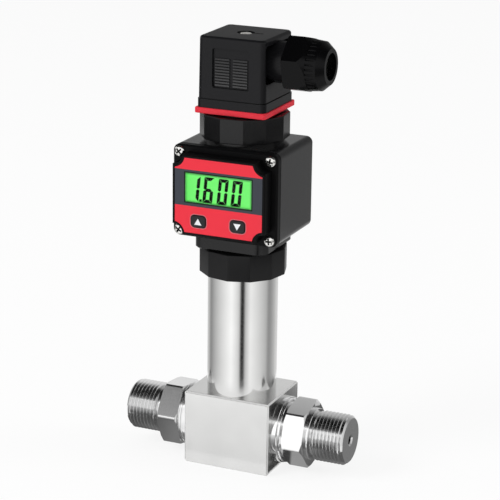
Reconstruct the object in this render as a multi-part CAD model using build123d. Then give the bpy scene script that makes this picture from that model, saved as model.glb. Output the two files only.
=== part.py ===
from build123d import *
import os
from math import cos, pi, radians, sin, tan

# Pressure transmitter for the pressure between two pipes, with a plug-on digital display.
# All lengths are in millimetres and all angles in degrees.
# The origin is the centre of the block's bottom face, under the tube's axis.
# +X points to the right-hand port and the cable gland, -Y to the front of the display, +Z up.

# Manifold block: a sawn square bar, bored across for the pressure cell
block_length = 36.2
block_section = 30.0
block_edge = 0.6
wire_hole_radius = 3.5
register_height = 1.4

# Pressure cell, a short cylinder lying in the cross bore
cell_radius = 9.5
cell_length = 15.0
cell_bore_clearance = 0.1
cell_flat_depth = 0.7
cell_flat_size = 8.0
cell_diaphragm_radius = 6.2
cell_diaphragm_depth = 0.5
cell_diaphragm_slope = 0.6
cell_groove_mid_radius = 7.9
cell_groove_width = 1.9
cell_groove_depth = 1.2
cell_ring_squeeze = 0.02
cell_pin_radius = 0.25
cell_pin_length = 5.0
cell_pin_pitch = 3.0

# Port fittings: turned from hexagon bar, welded to the block's two ends
spigot_gap = 0.4
weld_ring_radius = 13.2
weld_ring_width = 2.3
weld_groove_depth = 0.7
weld_groove_width = 0.5
second_ring_radius = 12.9
second_ring_width = 0.8
fitting_neck_radius = 11.2
fitting_neck_width = 0.9
hexagon_across_flats = 24.0
hexagon_width = 8.6
hexagon_corner_chamfer = 0.7
collar_radius = 10.4
collar_width = 1.4
relief_radius = 9.1
relief_width = 1.0
port_thread_radius = 10.0
port_thread_length = 13.2
port_thread_chamfer = 1.2
port_bore_radius = 1.75
port_chamber_radius = 6.6
port_chamber_depth = 0.8
left_hexagon_angle = -6.0
right_hexagon_angle = 11.4

# Sensor tube between the block and the display head
tube_radius = 13.75
tube_wall = 1.5
tube_length = 54.6
tube_edge = 0.6
tube_inside_clearance = 0.1

# Amplifier board and its holder in the tube
holder_height = 5.0
holder_base_gap = 2.6
board_width = 19.0
board_thickness = 1.6
board_length = 34.0
board_slot_depth = 4.0
board_slot_clearance = 0.1
lead_radius = 1.3
lead_gap = 0.3

# Chips on the board's front and back faces: x, height, width, length and depth,
# as shares of the board's width, length, width, length and thickness
front_chips = ((0.0, 0.38, 0.47, 0.26, 0.9), (-0.24, 0.71, 0.32, 0.15, 0.75), (0.26, 0.74, 0.26, 0.12, 1.1))
back_chips = ((0.16, 0.35, 0.42, 0.18, 1.6), (-0.21, 0.74, 0.37, 0.21, 1.0))

# Coupling nut, twelve-sided, that holds the head on the tube
nut_sides = 12
nut_edge = 0.4
coupling_vertex_radius = 17.2
coupling_height = 10.5
coupling_angle = 3.0
coupling_thread_clearance = 0.1
coupling_lip_height = 1.5
body_gap = 0.3

# Square foot under the display housing, with a stub: neck, retaining ring groove and sealed spigot
boss_width = 30.4
boss_depth = 29.6
boss_corner = 4.6
boss_height = 5.5
boss_edge = 0.5
stub_neck_radius = 13.5
stub_neck_length = 4.5
stub_spigot_length = 7.9
stub_bore_radius = 8.5
stub_lip_clearance = 0.3
retaining_ring_thickness = 1.0
retaining_ring_radius = 15.0
retaining_ring_inner_radius = 12.5
retaining_ring_slit = 4.0
stub_ring_section = 1.4
ring_groove_play = 0.2

# Display housing, a moulded box open to the front
housing_width = 43.2
housing_height = 36.0
housing_back = 17.2
housing_wall = 2.2
housing_corner = 2.6
housing_back_edge = 1.6
cover_seam = -15.2
cover_gasket_thickness = 0.4
cover_gasket_setback = 0.35
cavity_corner = 1.5

# Front cover: a flange with four screws and a raised centre
cover_flange_front = -18.0
cover_flange_edge = 0.6
plateau_front = -24.0
plateau_margin_x = 2.5
plateau_margin_z = 2.35
plateau_wall = 1.6
plateau_front_wall = 1.4
plateau_edge = 0.35
screw_inset_x = 2.85
screw_inset_z = 2.6
screw_head_radius = 2.05
screw_head_height = 1.4
screw_rim_height = 0.65
screw_shoulder_radius = 1.75
screw_shoulder_height = 1.1
screw_crown_radius = 1.15
screw_cross_length = 2.25
screw_cross_width = 0.5
screw_shank_radius = 1.0
screw_tip_radius = 0.5
screw_length = 9.0
screw_clearance = 0.05
screw_post_radius = 3.2
notch_radius = 3.7
faceplate_margin = 1.05
faceplate_thickness = 0.35
faceplate_recess = 0.4
faceplate_fit = 0.05

# Display window, module, board and the two keys
window_margin_x = 5.4
window_margin_z = 9.95
window_offset_z = 3.2
window_overlap = 0.3
window_fit = 0.1
module_border = 1.8
module_thickness = 2.6
display_board_thickness = 1.2
stack_gap = 0.1
post_radius = 1.1
lower_post_inset = 3.4
lower_post_rise = 1.5
upper_post_x = 9.0
upper_post_inset = 3.05
key_spacing = 16.2
key_inset_z = 5.95
key_opening_width = 6.6
key_opening_height = 5.1
key_clearance = 0.15
key_proud = 0.5
key_edge = 0.3
key_corner_share = 0.32
key_flange_margin = 0.6
key_flange_thickness = 0.5
key_travel = 0.5
switch_size = 4.5
switch_height = 1.2
plunger_radius = 1.0

# Neck above the housing: threaded stub, contact base and twelve-sided nut
neck_stub_radius = 15.2
neck_stub_height = 6.7
neck_stub_bore = 12.5
contact_vertex_radius = 17.3
contact_angle = 21.6
contact_nut_rise = 1.7
contact_lip_height = 1.5
base_flange_radius = 14.9
base_flange_height = 2.8
base_platform_radius = 12.6
base_skirt_depth = 3.6
blade_offset = 9.0
blade_width = 6.3
blade_thickness = 0.8
blade_height = 9.0
blade_tip = 0.25
insert_radius = 2.5
insert_bore_clearance = 0.1
fixing_screw_radius = 1.5

# Connector: gasket, housing, terminal block and fixing screw
gasket_width = 29.2
gasket_thickness = 2.2
gasket_corner = 1.1
gasket_hole_radius = 10.6
skirt_width = 28.1
skirt_height = 3.3
seam_depth = 0.35
seam_height = 0.35
connector_width = 27.6
connector_top_width = 27.1
connector_height = 27.2
connector_corner = 2.3
connector_top_edge = 1.1
connector_wall = 2.2
connector_roof = 3.7
pocket_depth = 2.9
pocket_bottom = 10.3
pocket_top_wall = 2.4
pocket_side_wall = 1.6
pocket_corner = 1.5
panel_width = 15.2
panel_height = 15.1
panel_depth = 0.5
panel_bottom = 7.9
panel_corner = 0.9
rib_columns = 2
rib_count = 10
rib_width = 5.9
rib_pitch = 1.1
rib_thickness = 0.6
rib_gap = 1.4
rib_bottom = 0.5
screw_recess_radius = 3.4
screw_recess_depth = 3.0
top_slot_width = 1.0
top_slot_depth = 0.8
top_slot_reach = 7.2
fixing_head_radius = 2.4
fixing_head_height = 2.5
fixing_head_edge = 0.3
fixing_head_gap = 0.2
fixing_slot_width = 0.7
fixing_slot_depth = 0.9
fixing_slot_angle = 35.0
fixing_screw_length = 34.1
fixing_tip_radius = 0.9
fixing_tip_length = 0.8
shank_hole_radius = 1.9
terminal_side_gap = 0.8
terminal_corner = 0.8
terminal_tower_height = 4.0
terminal_gap = 0.4
terminal_slot_clearance = 0.3
terminal_screw_radius = 1.5
terminal_screw_head = 1.0
terminal_screw_shank = 0.9
terminal_screw_depth = 3.0
terminal_slot_width = 0.45
terminal_slot_depth = 0.5

# Cable gland on the connector's right side
gland_height = 17.3
neck_radius = 8.0
neck_bore = 6.2
neck_end = 25.0
seal_flange_radius = 7.8
seal_flange_thickness = 2.6
seal_depth = 5.0
seal_bore = 4.0
thrust_ring_thickness = 1.2
thrust_ring_bore = 4.9
gland_nut_start = 18.8
gland_hexagon_across_flats = 19.8
gland_hexagon_bevel = 0.5
gland_hexagon_end = 27.9
gland_hexagon_angle = 45.0
gland_round_radius = 9.75
gland_flute_count = 32
gland_flute_radius = 0.42
gland_flute_end = 31.2
gland_shoulder = 32.0
gland_shoulder_radius = 9.35
gland_nut_end = 34.8
gland_nose_radius = 6.9
gland_hole_radius = 5.2
gland_thread_clearance = 0.1
gland_throat_gap = 0.4
gland_throat_length = 2.3

# How far a cutting shape runs past the face that it opens
overrun = 1.0

# Levels and places that follow from the sizes above
block_half = block_length / 2
port_height = block_section / 2
block_top = block_section
fitting_rings = weld_ring_width + weld_groove_width + second_ring_width + fitting_neck_width
hexagon_start = block_half + fitting_rings
port_end = hexagon_start + hexagon_width + collar_width + relief_width + port_thread_length
tube_top = block_top + tube_length
tube_bore = tube_radius - tube_wall
inside_tube_radius = tube_bore - tube_inside_clearance
stub_neck_bottom = tube_top + body_gap
boss_bottom = stub_neck_bottom + stub_neck_length
boss_top = boss_bottom + boss_height
housing_bottom = boss_top
housing_top = housing_bottom + housing_height
housing_middle = housing_bottom + housing_height / 2
coupling_top = boss_bottom - body_gap
coupling_bottom = coupling_top - coupling_height
housing_front = cover_seam + cover_gasket_thickness
neck_stub_top = housing_top + neck_stub_height
base_flange_top = neck_stub_top + base_flange_height
base_platform_height = contact_lip_height + 2 * body_gap
platform_top = base_flange_top + base_platform_height
contact_nut_top = platform_top - body_gap
gasket_bottom = platform_top + body_gap
gasket_top = gasket_bottom + gasket_thickness
connector_bottom = gasket_top
connector_top = connector_bottom + connector_height
gland_axis_z = connector_bottom + gland_height
plateau_width = housing_width - 2 * plateau_margin_x
plateau_height = housing_height - 2 * plateau_margin_z
screw_spacing_x = housing_width - 2 * screw_inset_x
screw_spacing_z = housing_height - 2 * screw_inset_z
faceplate_floor = plateau_front + faceplate_recess
plateau_inner_face = faceplate_floor + plateau_front_wall
window_width = plateau_width - 2 * window_margin_x
window_height = plateau_height - 2 * window_margin_z
module_width = window_width + 2 * module_border
module_height = window_height + 2 * module_border
module_front = plateau_inner_face + stack_gap
display_board_front = module_front + module_thickness + stack_gap
window_middle = housing_middle + window_offset_z
key_middle = housing_middle - plateau_height / 2 + key_inset_z
lower_post_x = plateau_width / 2 - lower_post_inset
lower_post_height = key_middle + lower_post_rise
upper_post_height = housing_middle + plateau_height / 2 - upper_post_inset
connector_shelf = connector_bottom + pocket_bottom - connector_wall
terminal_block_width = connector_width - 2 * connector_wall - 2 * terminal_side_gap
terminal_bottom = connector_bottom + terminal_gap
terminal_shoulder = connector_shelf - terminal_gap


def turned(points):
    """A solid turned about Z, from outline points given as (radius, height)."""
    outline = Polyline(*[(radius, 0, height) for radius, height in points], close=True)
    return revolve(make_face(outline), Axis.Z)


def turned_across(points, axis_height):
    """A solid turned about a line along X, from outline points given as (x, radius)."""
    outline = Polyline(*[(x, 0, radius) for x, radius in points], close=True)
    return Pos(0, 0, axis_height) * revolve(make_face(outline), Axis.X)


def many_sided(vertex_radius, sides, first_angle):
    """A regular outline whose first corner lies at first_angle."""
    corners = []
    for index in range(sides):
        angle = radians(first_angle + 360 * index / sides)
        corners.append((vertex_radius * cos(angle), vertex_radius * sin(angle)))
    return make_face(Polyline(*corners, close=True))


def raised(sketch, bottom, top):
    """A level outline drawn out upwards from bottom to top."""
    return extrude(Plane.XY.offset(bottom) * sketch, amount=top - bottom)


def facing(sketch, front, back):
    """An outline seen from the front, drawn out from y = front to y = back."""
    return extrude(Plane.XZ.offset(-back) * sketch, amount=back - front)


def across(sketch, start, end):
    """An outline seen from the right, drawn out from x = start to x = end."""
    return extrude(Plane.YZ.offset(start) * sketch, amount=end - start)


def cover_screw_places():
    """The four screw centres of the front cover, as (x, z)."""
    places = []
    for z_side in (-1, 1):
        for x_side in (-1, 1):
            places.append((x_side * screw_spacing_x / 2, housing_middle + z_side * screw_spacing_z / 2))
    return places


def notched_plate(width, height, corner_radius):
    """A plate seen from the front, hollowed round the four cover screws."""
    plate = Pos(0, housing_middle) * Rectangle(width, height)
    for x, z in cover_screw_places():
        plate -= Pos(x, z) * Circle(corner_radius)
    return plate


def manifold_block():
    """Square bar with a cross bore for the cell, a wire hole and a register for the tube."""
    bar = raised(Rectangle(block_length, block_section), 0, block_top)
    bar = chamfer(bar.edges(), block_edge)
    bar += raised(Circle(inside_tube_radius), block_top, block_top + register_height)
    bore = turned_across([(-block_length, 0), (block_length, 0),
                          (block_length, cell_radius + cell_bore_clearance),
                          (-block_length, cell_radius + cell_bore_clearance)], port_height)
    wire_hole = raised(Circle(wire_hole_radius), port_height, block_top + register_height + overrun)
    return bar - bore - wire_hole


def port_fitting(side, hexagon_angle):
    """Turned fitting: spigot, weld rings, hexagon, relief and the outside thread's blank."""
    spigot_start = cell_length / 2 + spigot_gap
    outline = []
    reach = [(spigot_start, cell_radius), (block_half, cell_radius)]
    place = block_half
    for width, radius in ((weld_ring_width, weld_ring_radius),
                          (weld_groove_width, weld_ring_radius - weld_groove_depth),
                          (second_ring_width, second_ring_radius),
                          (fitting_neck_width, fitting_neck_radius),
                          (hexagon_width, hexagon_across_flats),
                          (collar_width, collar_radius),
                          (relief_width, relief_radius)):
        reach += [(place, radius), (place + width, radius)]
        place += width
    reach += [(place, port_thread_radius), (port_end - port_thread_chamfer, port_thread_radius),
              (port_end, port_thread_radius - port_thread_chamfer), (port_end, 0), (spigot_start, 0)]
    for x, radius in reach:
        outline.append((side * x, radius))
    body = turned_across(outline, port_height)

    vertex_radius = hexagon_across_flats / 2 / cos(radians(30))
    hexagon_end = hexagon_start + hexagon_width
    drop = (vertex_radius - hexagon_across_flats / 2) * hexagon_corner_chamfer
    rise = drop * tan(radians(30))
    cones = turned_across([(side * spigot_start, 0), (side * spigot_start, weld_ring_radius),
                           (side * hexagon_start, weld_ring_radius),
                           (side * hexagon_start, vertex_radius - drop),
                           (side * (hexagon_start + rise), vertex_radius),
                           (side * (hexagon_end - rise), vertex_radius),
                           (side * hexagon_end, vertex_radius - drop),
                           (side * port_end, vertex_radius - drop), (side * port_end, 0)], port_height)
    hexagon = Pos(0, port_height) * many_sided(vertex_radius, 6, hexagon_angle)
    ends = sorted((side * hexagon_start, side * hexagon_end))
    outside = across(Pos(0, port_height) * Circle(2 * block_section), ends[0], ends[1])
    outside -= across(hexagon, ends[0] - overrun, ends[1] + overrun)
    body = (body - outside) & cones

    bore = turned_across([(side * spigot_start, 0), (side * spigot_start, port_chamber_radius),
                          (side * (spigot_start + port_chamber_depth), port_chamber_radius),
                          (side * (spigot_start + port_chamber_depth), port_bore_radius),
                          (side * port_end, port_bore_radius), (side * port_end, 0)], port_height)
    return body - bore


def pressure_cell():
    """Sealed cell with a thin diaphragm at each end, face grooves and a flat for its pins."""
    half = cell_length / 2
    cell = turned_across([(-half, 0), (-half, cell_radius), (half, cell_radius), (half, 0)], port_height)
    inner = cell_groove_mid_radius - cell_groove_width / 2
    outer = cell_groove_mid_radius + cell_groove_width / 2
    for side in (-1, 1):
        face = side * half
        floor = side * (half - cell_groove_depth)
        dish = side * (half - cell_diaphragm_depth)
        cell -= turned_across([(face, inner), (face, outer), (floor, outer), (floor, inner)], port_height)
        cell -= turned_across([(face, 0), (face, cell_diaphragm_radius),
                               (dish, cell_diaphragm_radius - cell_diaphragm_slope), (dish, 0)],
                              port_height)
    flat = port_height + cell_radius - cell_flat_depth
    cell -= raised(Rectangle(cell_flat_size, cell_flat_size), flat, flat + cell_radius)
    return cell


def cell_pins():
    """Four contact pins that stand on the cell's flat."""
    foot = port_height + cell_radius - cell_flat_depth
    pins = Part()
    for x_side in (-1, 1):
        for y_side in (-1, 1):
            place = Pos(x_side * cell_pin_pitch / 2, y_side * cell_pin_pitch / 2)
            pins += raised(place * Circle(cell_pin_radius), foot, foot + cell_pin_length)
    return pins


def cell_ring(side):
    """Rubber ring in the cell's face groove, pressed by the fitting's spigot."""
    section = (cell_groove_depth + spigot_gap - cell_ring_squeeze) / 2
    middle = cell_length / 2 + spigot_gap - cell_ring_squeeze / 2 - section
    ring = Torus(cell_groove_mid_radius, section)
    return Pos(side * middle, 0, port_height) * Rot(0, 90, 0) * ring


def sensor_tube():
    """Plain steel tube welded on the block round the register."""
    return turned([(tube_bore, block_top), (tube_radius, block_top),
                   (tube_radius, tube_top - tube_edge), (tube_radius - tube_edge, tube_top),
                   (tube_bore, tube_top)])


def holder_bottom():
    """Height of the board holder's underside, clear above the register."""
    return block_top + register_height + holder_base_gap


def board_bottom():
    """Height of the amplifier board's lower edge, in the holder's slot."""
    return holder_bottom() + holder_height - board_slot_depth


def board_holder():
    """Moulded disc in the tube, slotted for the board and pierced for the leads."""
    bottom = holder_bottom()
    disc = raised(Circle(inside_tube_radius), bottom, bottom + holder_height)
    slot = Rectangle(board_width + 2 * board_slot_clearance, board_thickness + 2 * board_slot_clearance)
    disc -= raised(slot, board_bottom(), bottom + holder_height + overrun)
    lead_hole = Circle(lead_radius + board_slot_clearance)
    return disc - raised(lead_hole, bottom - overrun, bottom + holder_height)


def amplifier_board():
    """Bare circuit board that stands in the holder's slot."""
    bottom = board_bottom()
    return raised(Rectangle(board_width, board_thickness), bottom, bottom + board_length)


def board_chips():
    """Flat chips and a tall capacitor on the amplifier board's two faces."""
    chips = Part()
    bottom = board_bottom()
    for side, places in ((-1, front_chips), (1, back_chips)):
        for x, height, width, length, depth in places:
            outline = Rectangle(width * board_width, length * board_length)
            outline = Pos(x * board_width, bottom + height * board_length) * outline
            inner = side * board_thickness / 2
            faces = sorted((inner, inner + side * depth * board_thickness))
            chips += facing(outline, faces[0], faces[1])
    return chips


def cell_leads():
    """Bundle of leads from the cell's pins up to the amplifier board."""
    start = port_height + cell_radius - cell_flat_depth + cell_pin_length + lead_gap
    return raised(Circle(lead_radius), start, board_bottom() - lead_gap)


def head_leads():
    """Bundle of leads on the axis, from the amplifier board up to the contact base."""
    start = board_bottom() + board_length + lead_gap
    return raised(Circle(lead_radius), start, neck_stub_top - base_skirt_depth - lead_gap)


def twelve_sided_nut(vertex_radius, first_angle, bottom, top):
    """Twelve-sided moulded bar with a small bevel round both ends."""
    bar = raised(many_sided(vertex_radius, nut_sides, first_angle), bottom, top)
    ends = bar.faces().sort_by(Axis.Z)
    return chamfer(ends[0].edges() + ends[-1].edges(), nut_edge)


def coupling_nut():
    """Nut that turns on the tube's end and hooks over the retaining ring."""
    nut = twelve_sided_nut(coupling_vertex_radius, coupling_angle, coupling_bottom, coupling_top)
    thread = tube_radius + coupling_thread_clearance
    lip_bottom = coupling_top - coupling_lip_height
    room = retaining_ring_radius + body_gap
    lip = stub_neck_radius + stub_lip_clearance
    return nut - turned([(0, coupling_bottom), (thread, coupling_bottom), (thread, tube_top),
                         (room, tube_top), (room, lip_bottom), (lip, lip_bottom), (lip, coupling_top),
                         (0, coupling_top)])


def ring_groove_bottom():
    """Height of the retaining ring's underside."""
    return coupling_top - coupling_lip_height - body_gap - retaining_ring_thickness


def retaining_ring():
    """Split spring ring snapped into the stub's groove."""
    bottom = ring_groove_bottom()
    ring = raised(Circle(retaining_ring_radius) - Circle(retaining_ring_inner_radius),
                  bottom, bottom + retaining_ring_thickness)
    slit = Pos(0, retaining_ring_radius) * Rectangle(retaining_ring_slit, retaining_ring_radius)
    return ring - raised(slit, bottom - overrun, bottom + retaining_ring_thickness + overrun)


def stub_ring_height():
    """Height of the sealing ring's middle, half way down the spigot."""
    return stub_neck_bottom - stub_spigot_length / 2


def stub_ring():
    """Rubber ring that seals the spigot in the tube."""
    middle = tube_bore - stub_ring_section / 2 - screw_clearance
    return Pos(0, 0, stub_ring_height()) * Torus(middle, stub_ring_section / 2)


def housing_outline(width, height, corner):
    """Rounded rectangle of the display housing, seen from the front."""
    return Pos(0, housing_middle) * RectangleRounded(width, height, corner)


def display_housing():
    """Moulded box with corner posts, a stub below for the tube and one above for the contacts."""
    box = facing(housing_outline(housing_width, housing_height, housing_corner), housing_front, housing_back)
    box = fillet(box.faces().sort_by(Axis.Y)[-1].edges(), housing_back_edge)
    foot = raised(RectangleRounded(boss_width, boss_depth, boss_corner), boss_bottom, boss_top)
    box += chamfer(foot.faces().sort_by(Axis.Z)[0].edges(), boss_edge)
    spigot_bottom = stub_neck_bottom - stub_spigot_length
    box += turned([(0, spigot_bottom), (inside_tube_radius, spigot_bottom),
                   (inside_tube_radius, stub_neck_bottom), (stub_neck_radius, stub_neck_bottom),
                   (stub_neck_radius, boss_bottom), (0, boss_bottom)])
    box += raised(Circle(neck_stub_radius), housing_top, neck_stub_top)

    cavity = housing_outline(housing_width - 2 * housing_wall, housing_height - 2 * housing_wall,
                             cavity_corner)
    hollow = facing(cavity, housing_front - overrun, housing_back - housing_wall)
    for x, z in cover_screw_places():
        hollow -= facing(Pos(x, z) * Circle(screw_post_radius), housing_front - overrun, housing_back)
    box -= hollow
    box -= raised(Circle(stub_bore_radius), spigot_bottom, housing_bottom + 2 * housing_wall)
    box -= raised(Circle(neck_stub_bore), housing_top - 2 * housing_wall, neck_stub_top)

    groove_bottom = ring_groove_bottom()
    box -= raised(Circle(stub_neck_radius + overrun) - Circle(retaining_ring_inner_radius),
                  groove_bottom, groove_bottom + retaining_ring_thickness)
    seal_middle = stub_ring_height()
    seal_groove = tube_bore - stub_ring_section - screw_clearance
    seal_half = stub_ring_section / 2 + ring_groove_play
    box -= raised(Circle(inside_tube_radius + overrun) - Circle(seal_groove),
                  seal_middle - seal_half, seal_middle + seal_half)
    for x, z in cover_screw_places():
        box -= facing(Pos(x, z) * Circle(screw_shank_radius + screw_clearance),
                      housing_front - overrun, cover_flange_front + screw_length + overrun)
    return box


def cover_gasket():
    """Thin flat frame of rubber between the housing and its cover."""
    frame = housing_outline(housing_width - 2 * cover_gasket_setback,
                            housing_height - 2 * cover_gasket_setback,
                            housing_corner - cover_gasket_setback)
    frame -= notched_plate(plateau_width - 2 * plateau_wall, plateau_height - 2 * plateau_wall,
                           notch_radius + plateau_wall)
    for x, z in cover_screw_places():
        frame -= Pos(x, z) * Circle(screw_shank_radius + 2 * screw_clearance)
    return facing(frame, cover_seam, housing_front)


def key_places():
    """The two keys' centres, as (x, z)."""
    return [(-key_spacing / 2, key_middle), (key_spacing / 2, key_middle)]


def board_post_places():
    """The four posts that carry the display board, as (x, z)."""
    places = []
    for side in (-1, 1):
        places.append((side * lower_post_x, lower_post_height))
        places.append((side * upper_post_x, upper_post_height))
    return places


def key_outline(width, height):
    """Oblong with rounded corners, centred on the origin."""
    return RectangleRounded(width, height, height * key_corner_share)


def front_cover():
    """Screwed flange with a hollow raised centre, a recess for the faceplate and three openings."""
    flange = facing(housing_outline(housing_width, housing_height, housing_corner),
                    cover_flange_front, cover_seam)
    flange = chamfer(flange.faces().sort_by(Axis.Y)[0].edges(), cover_flange_edge)
    plateau = facing(notched_plate(plateau_width, plateau_height, notch_radius),
                     plateau_front, cover_flange_front)
    plateau = chamfer(plateau.faces().sort_by(Axis.Y)[0].edges(), plateau_edge)
    cover = flange + plateau

    inside = notched_plate(plateau_width - 2 * plateau_wall, plateau_height - 2 * plateau_wall,
                           notch_radius + plateau_wall)
    cover -= facing(inside, plateau_inner_face, cover_seam + overrun)
    recess = notched_plate(plateau_width - 2 * faceplate_margin, plateau_height - 2 * faceplate_margin,
                           notch_radius + faceplate_margin)
    cover -= facing(recess, plateau_front - overrun, faceplate_floor)
    window = Pos(0, window_middle) * Rectangle(window_width + 2 * window_overlap + 2 * window_fit,
                                               window_height + 2 * window_overlap + 2 * window_fit)
    cover -= facing(window, plateau_front, plateau_inner_face)
    for x, z in key_places():
        cover -= facing(Pos(x, z) * key_outline(key_opening_width, key_opening_height),
                        plateau_front, plateau_inner_face)
    for x, z in cover_screw_places():
        cover -= facing(Pos(x, z) * Circle(screw_shank_radius + screw_clearance),
                        cover_flange_front - overrun, cover_seam + overrun)
    for x, z in board_post_places():
        cover += facing(Pos(x, z) * Circle(post_radius), plateau_inner_face, display_board_front)
    return cover


def faceplate():
    """Printed plate in the cover's recess, cut out for the window and the keys."""
    margin = faceplate_margin + faceplate_fit
    plate = notched_plate(plateau_width - 2 * margin, plateau_height - 2 * margin, notch_radius + margin)
    plate -= Pos(0, window_middle) * Rectangle(window_width, window_height)
    for x, z in key_places():
        plate -= Pos(x, z) * key_outline(key_opening_width, key_opening_height)
    return facing(plate, faceplate_floor - faceplate_thickness, faceplate_floor)


def lcd_window():
    """Clear pane let into the cover behind the faceplate."""
    pane = Pos(0, window_middle) * Rectangle(window_width + 2 * window_overlap,
                                             window_height + 2 * window_overlap)
    return facing(pane, faceplate_floor, plateau_inner_face)


def lcd_module():
    """Liquid-crystal glass with its lit frame, behind the pane."""
    glass = Pos(0, window_middle) * Rectangle(module_width, module_height)
    return facing(glass, module_front, module_front + module_thickness)


def display_board():
    """Circuit board of the display, notched like the cover and held on its posts."""
    margin = plateau_wall + window_fit
    board = notched_plate(plateau_width - 2 * margin, plateau_height - 2 * margin, notch_radius + margin)
    return facing(board, display_board_front, display_board_front + display_board_thickness)


def key_switch(place):
    """Small push switch on the display board, behind a key."""
    x, z = place
    switch = facing(Pos(x, z) * Rectangle(switch_size, switch_size),
                    display_board_front - switch_height, display_board_front)
    tip = plateau_inner_face + stack_gap + key_flange_thickness + key_travel + stack_gap
    return switch + facing(Pos(x, z) * Circle(plunger_radius), tip, display_board_front - switch_height)


def key(place):
    """Moulded key with a flange that keeps it behind the cover."""
    x, z = place
    flange_front = plateau_inner_face + stack_gap
    cap = facing(Pos(x, z) * key_outline(key_opening_width - 2 * key_clearance,
                                         key_opening_height - 2 * key_clearance),
                 plateau_front - key_proud, flange_front + key_flange_thickness)
    cap = fillet(cap.faces().sort_by(Axis.Y)[0].edges(), key_edge)
    flange = key_outline(key_opening_width + 2 * key_flange_margin,
                         key_opening_height + 2 * key_flange_margin)
    return cap + facing(Pos(x, z) * flange, flange_front, flange_front + key_flange_thickness)


def cover_screw(place):
    """Pan-head screw with a cross recess."""
    x, z = place
    tip = screw_head_height - screw_length
    screw = turned([(0, tip), (screw_tip_radius, tip), (screw_shank_radius, tip + 2 * screw_tip_radius),
                    (screw_shank_radius, 0), (screw_head_radius, 0),
                    (screw_head_radius, screw_rim_height),
                    (screw_shoulder_radius, screw_shoulder_height),
                    (screw_crown_radius, screw_head_height), (0, screw_head_height)])
    cross = Rectangle(screw_cross_length, screw_cross_width)
    cross += Rectangle(screw_cross_width, screw_cross_length)
    screw -= raised(cross, screw_rim_height, screw_head_height + overrun)
    return Pos(x, cover_flange_front, z) * Rot(90, 0, 0) * screw


def blade_places():
    """Places and turns of the four contact blades; the last is the earth blade."""
    return [(-blade_offset, 0, 90), (blade_offset, 0, 90), (0, -blade_offset, 0), (0, blade_offset, 0)]


def blade_outline(place, margin):
    """A blade's section with a margin all round, at its place on the base."""
    x, y, turn = place
    return Pos(x, y) * Rot(0, 0, turn) * Rectangle(blade_width + 2 * margin, blade_thickness + 2 * margin)


def contact_base():
    """Moulded disc that carries the blades and the threaded insert."""
    base = turned([(0, neck_stub_top - base_skirt_depth),
                   (neck_stub_bore - tube_inside_clearance, neck_stub_top - base_skirt_depth),
                   (neck_stub_bore - tube_inside_clearance, neck_stub_top),
                   (base_flange_radius, neck_stub_top), (base_flange_radius, base_flange_top),
                   (base_platform_radius, base_flange_top), (base_platform_radius, platform_top),
                   (0, platform_top)])
    base -= raised(Circle(insert_radius), neck_stub_top - base_skirt_depth, platform_top)
    for place in blade_places():
        base -= raised(blade_outline(place, 0), neck_stub_top - base_skirt_depth, platform_top)
    return base


def contact_blade(place):
    """Flat brass blade with a chamfered tip."""
    bottom = neck_stub_top - base_skirt_depth
    blade = raised(blade_outline(place, 0), bottom, platform_top + blade_height)
    return chamfer(blade.faces().sort_by(Axis.Z)[-1].edges(), blade_tip)


def screw_insert():
    """Threaded brass bush for the fixing screw."""
    bore = fixing_screw_radius + insert_bore_clearance
    ring = Circle(insert_radius) - Circle(bore)
    return raised(ring, neck_stub_top - base_skirt_depth, platform_top)


def contact_nut():
    """Twelve-sided nut that clamps the contact base on the housing's upper stub."""
    bottom = housing_top + contact_nut_rise
    nut = twelve_sided_nut(contact_vertex_radius, contact_angle, bottom, contact_nut_top)
    thread = neck_stub_radius + coupling_thread_clearance
    lip_bottom = base_flange_top + body_gap
    lip = base_platform_radius + body_gap
    return nut - turned([(0, bottom), (thread, bottom), (thread, lip_bottom), (lip, lip_bottom),
                         (lip, contact_nut_top), (0, contact_nut_top)])


def profile_gasket():
    """Flat square gasket of red rubber between the connector and its base."""
    square = RectangleRounded(gasket_width, gasket_width, gasket_corner) - Circle(gasket_hole_radius)
    return raised(square, gasket_bottom, gasket_top)


def tapered_square(low_width, high_width, bottom, top, corner):
    """Square with rounded corners that narrows evenly from bottom to top."""
    low = Plane.XY.offset(bottom) * RectangleRounded(low_width, low_width, corner)
    high = Plane.XY.offset(top) * RectangleRounded(high_width, high_width, corner)
    return loft([low, high])


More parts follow.
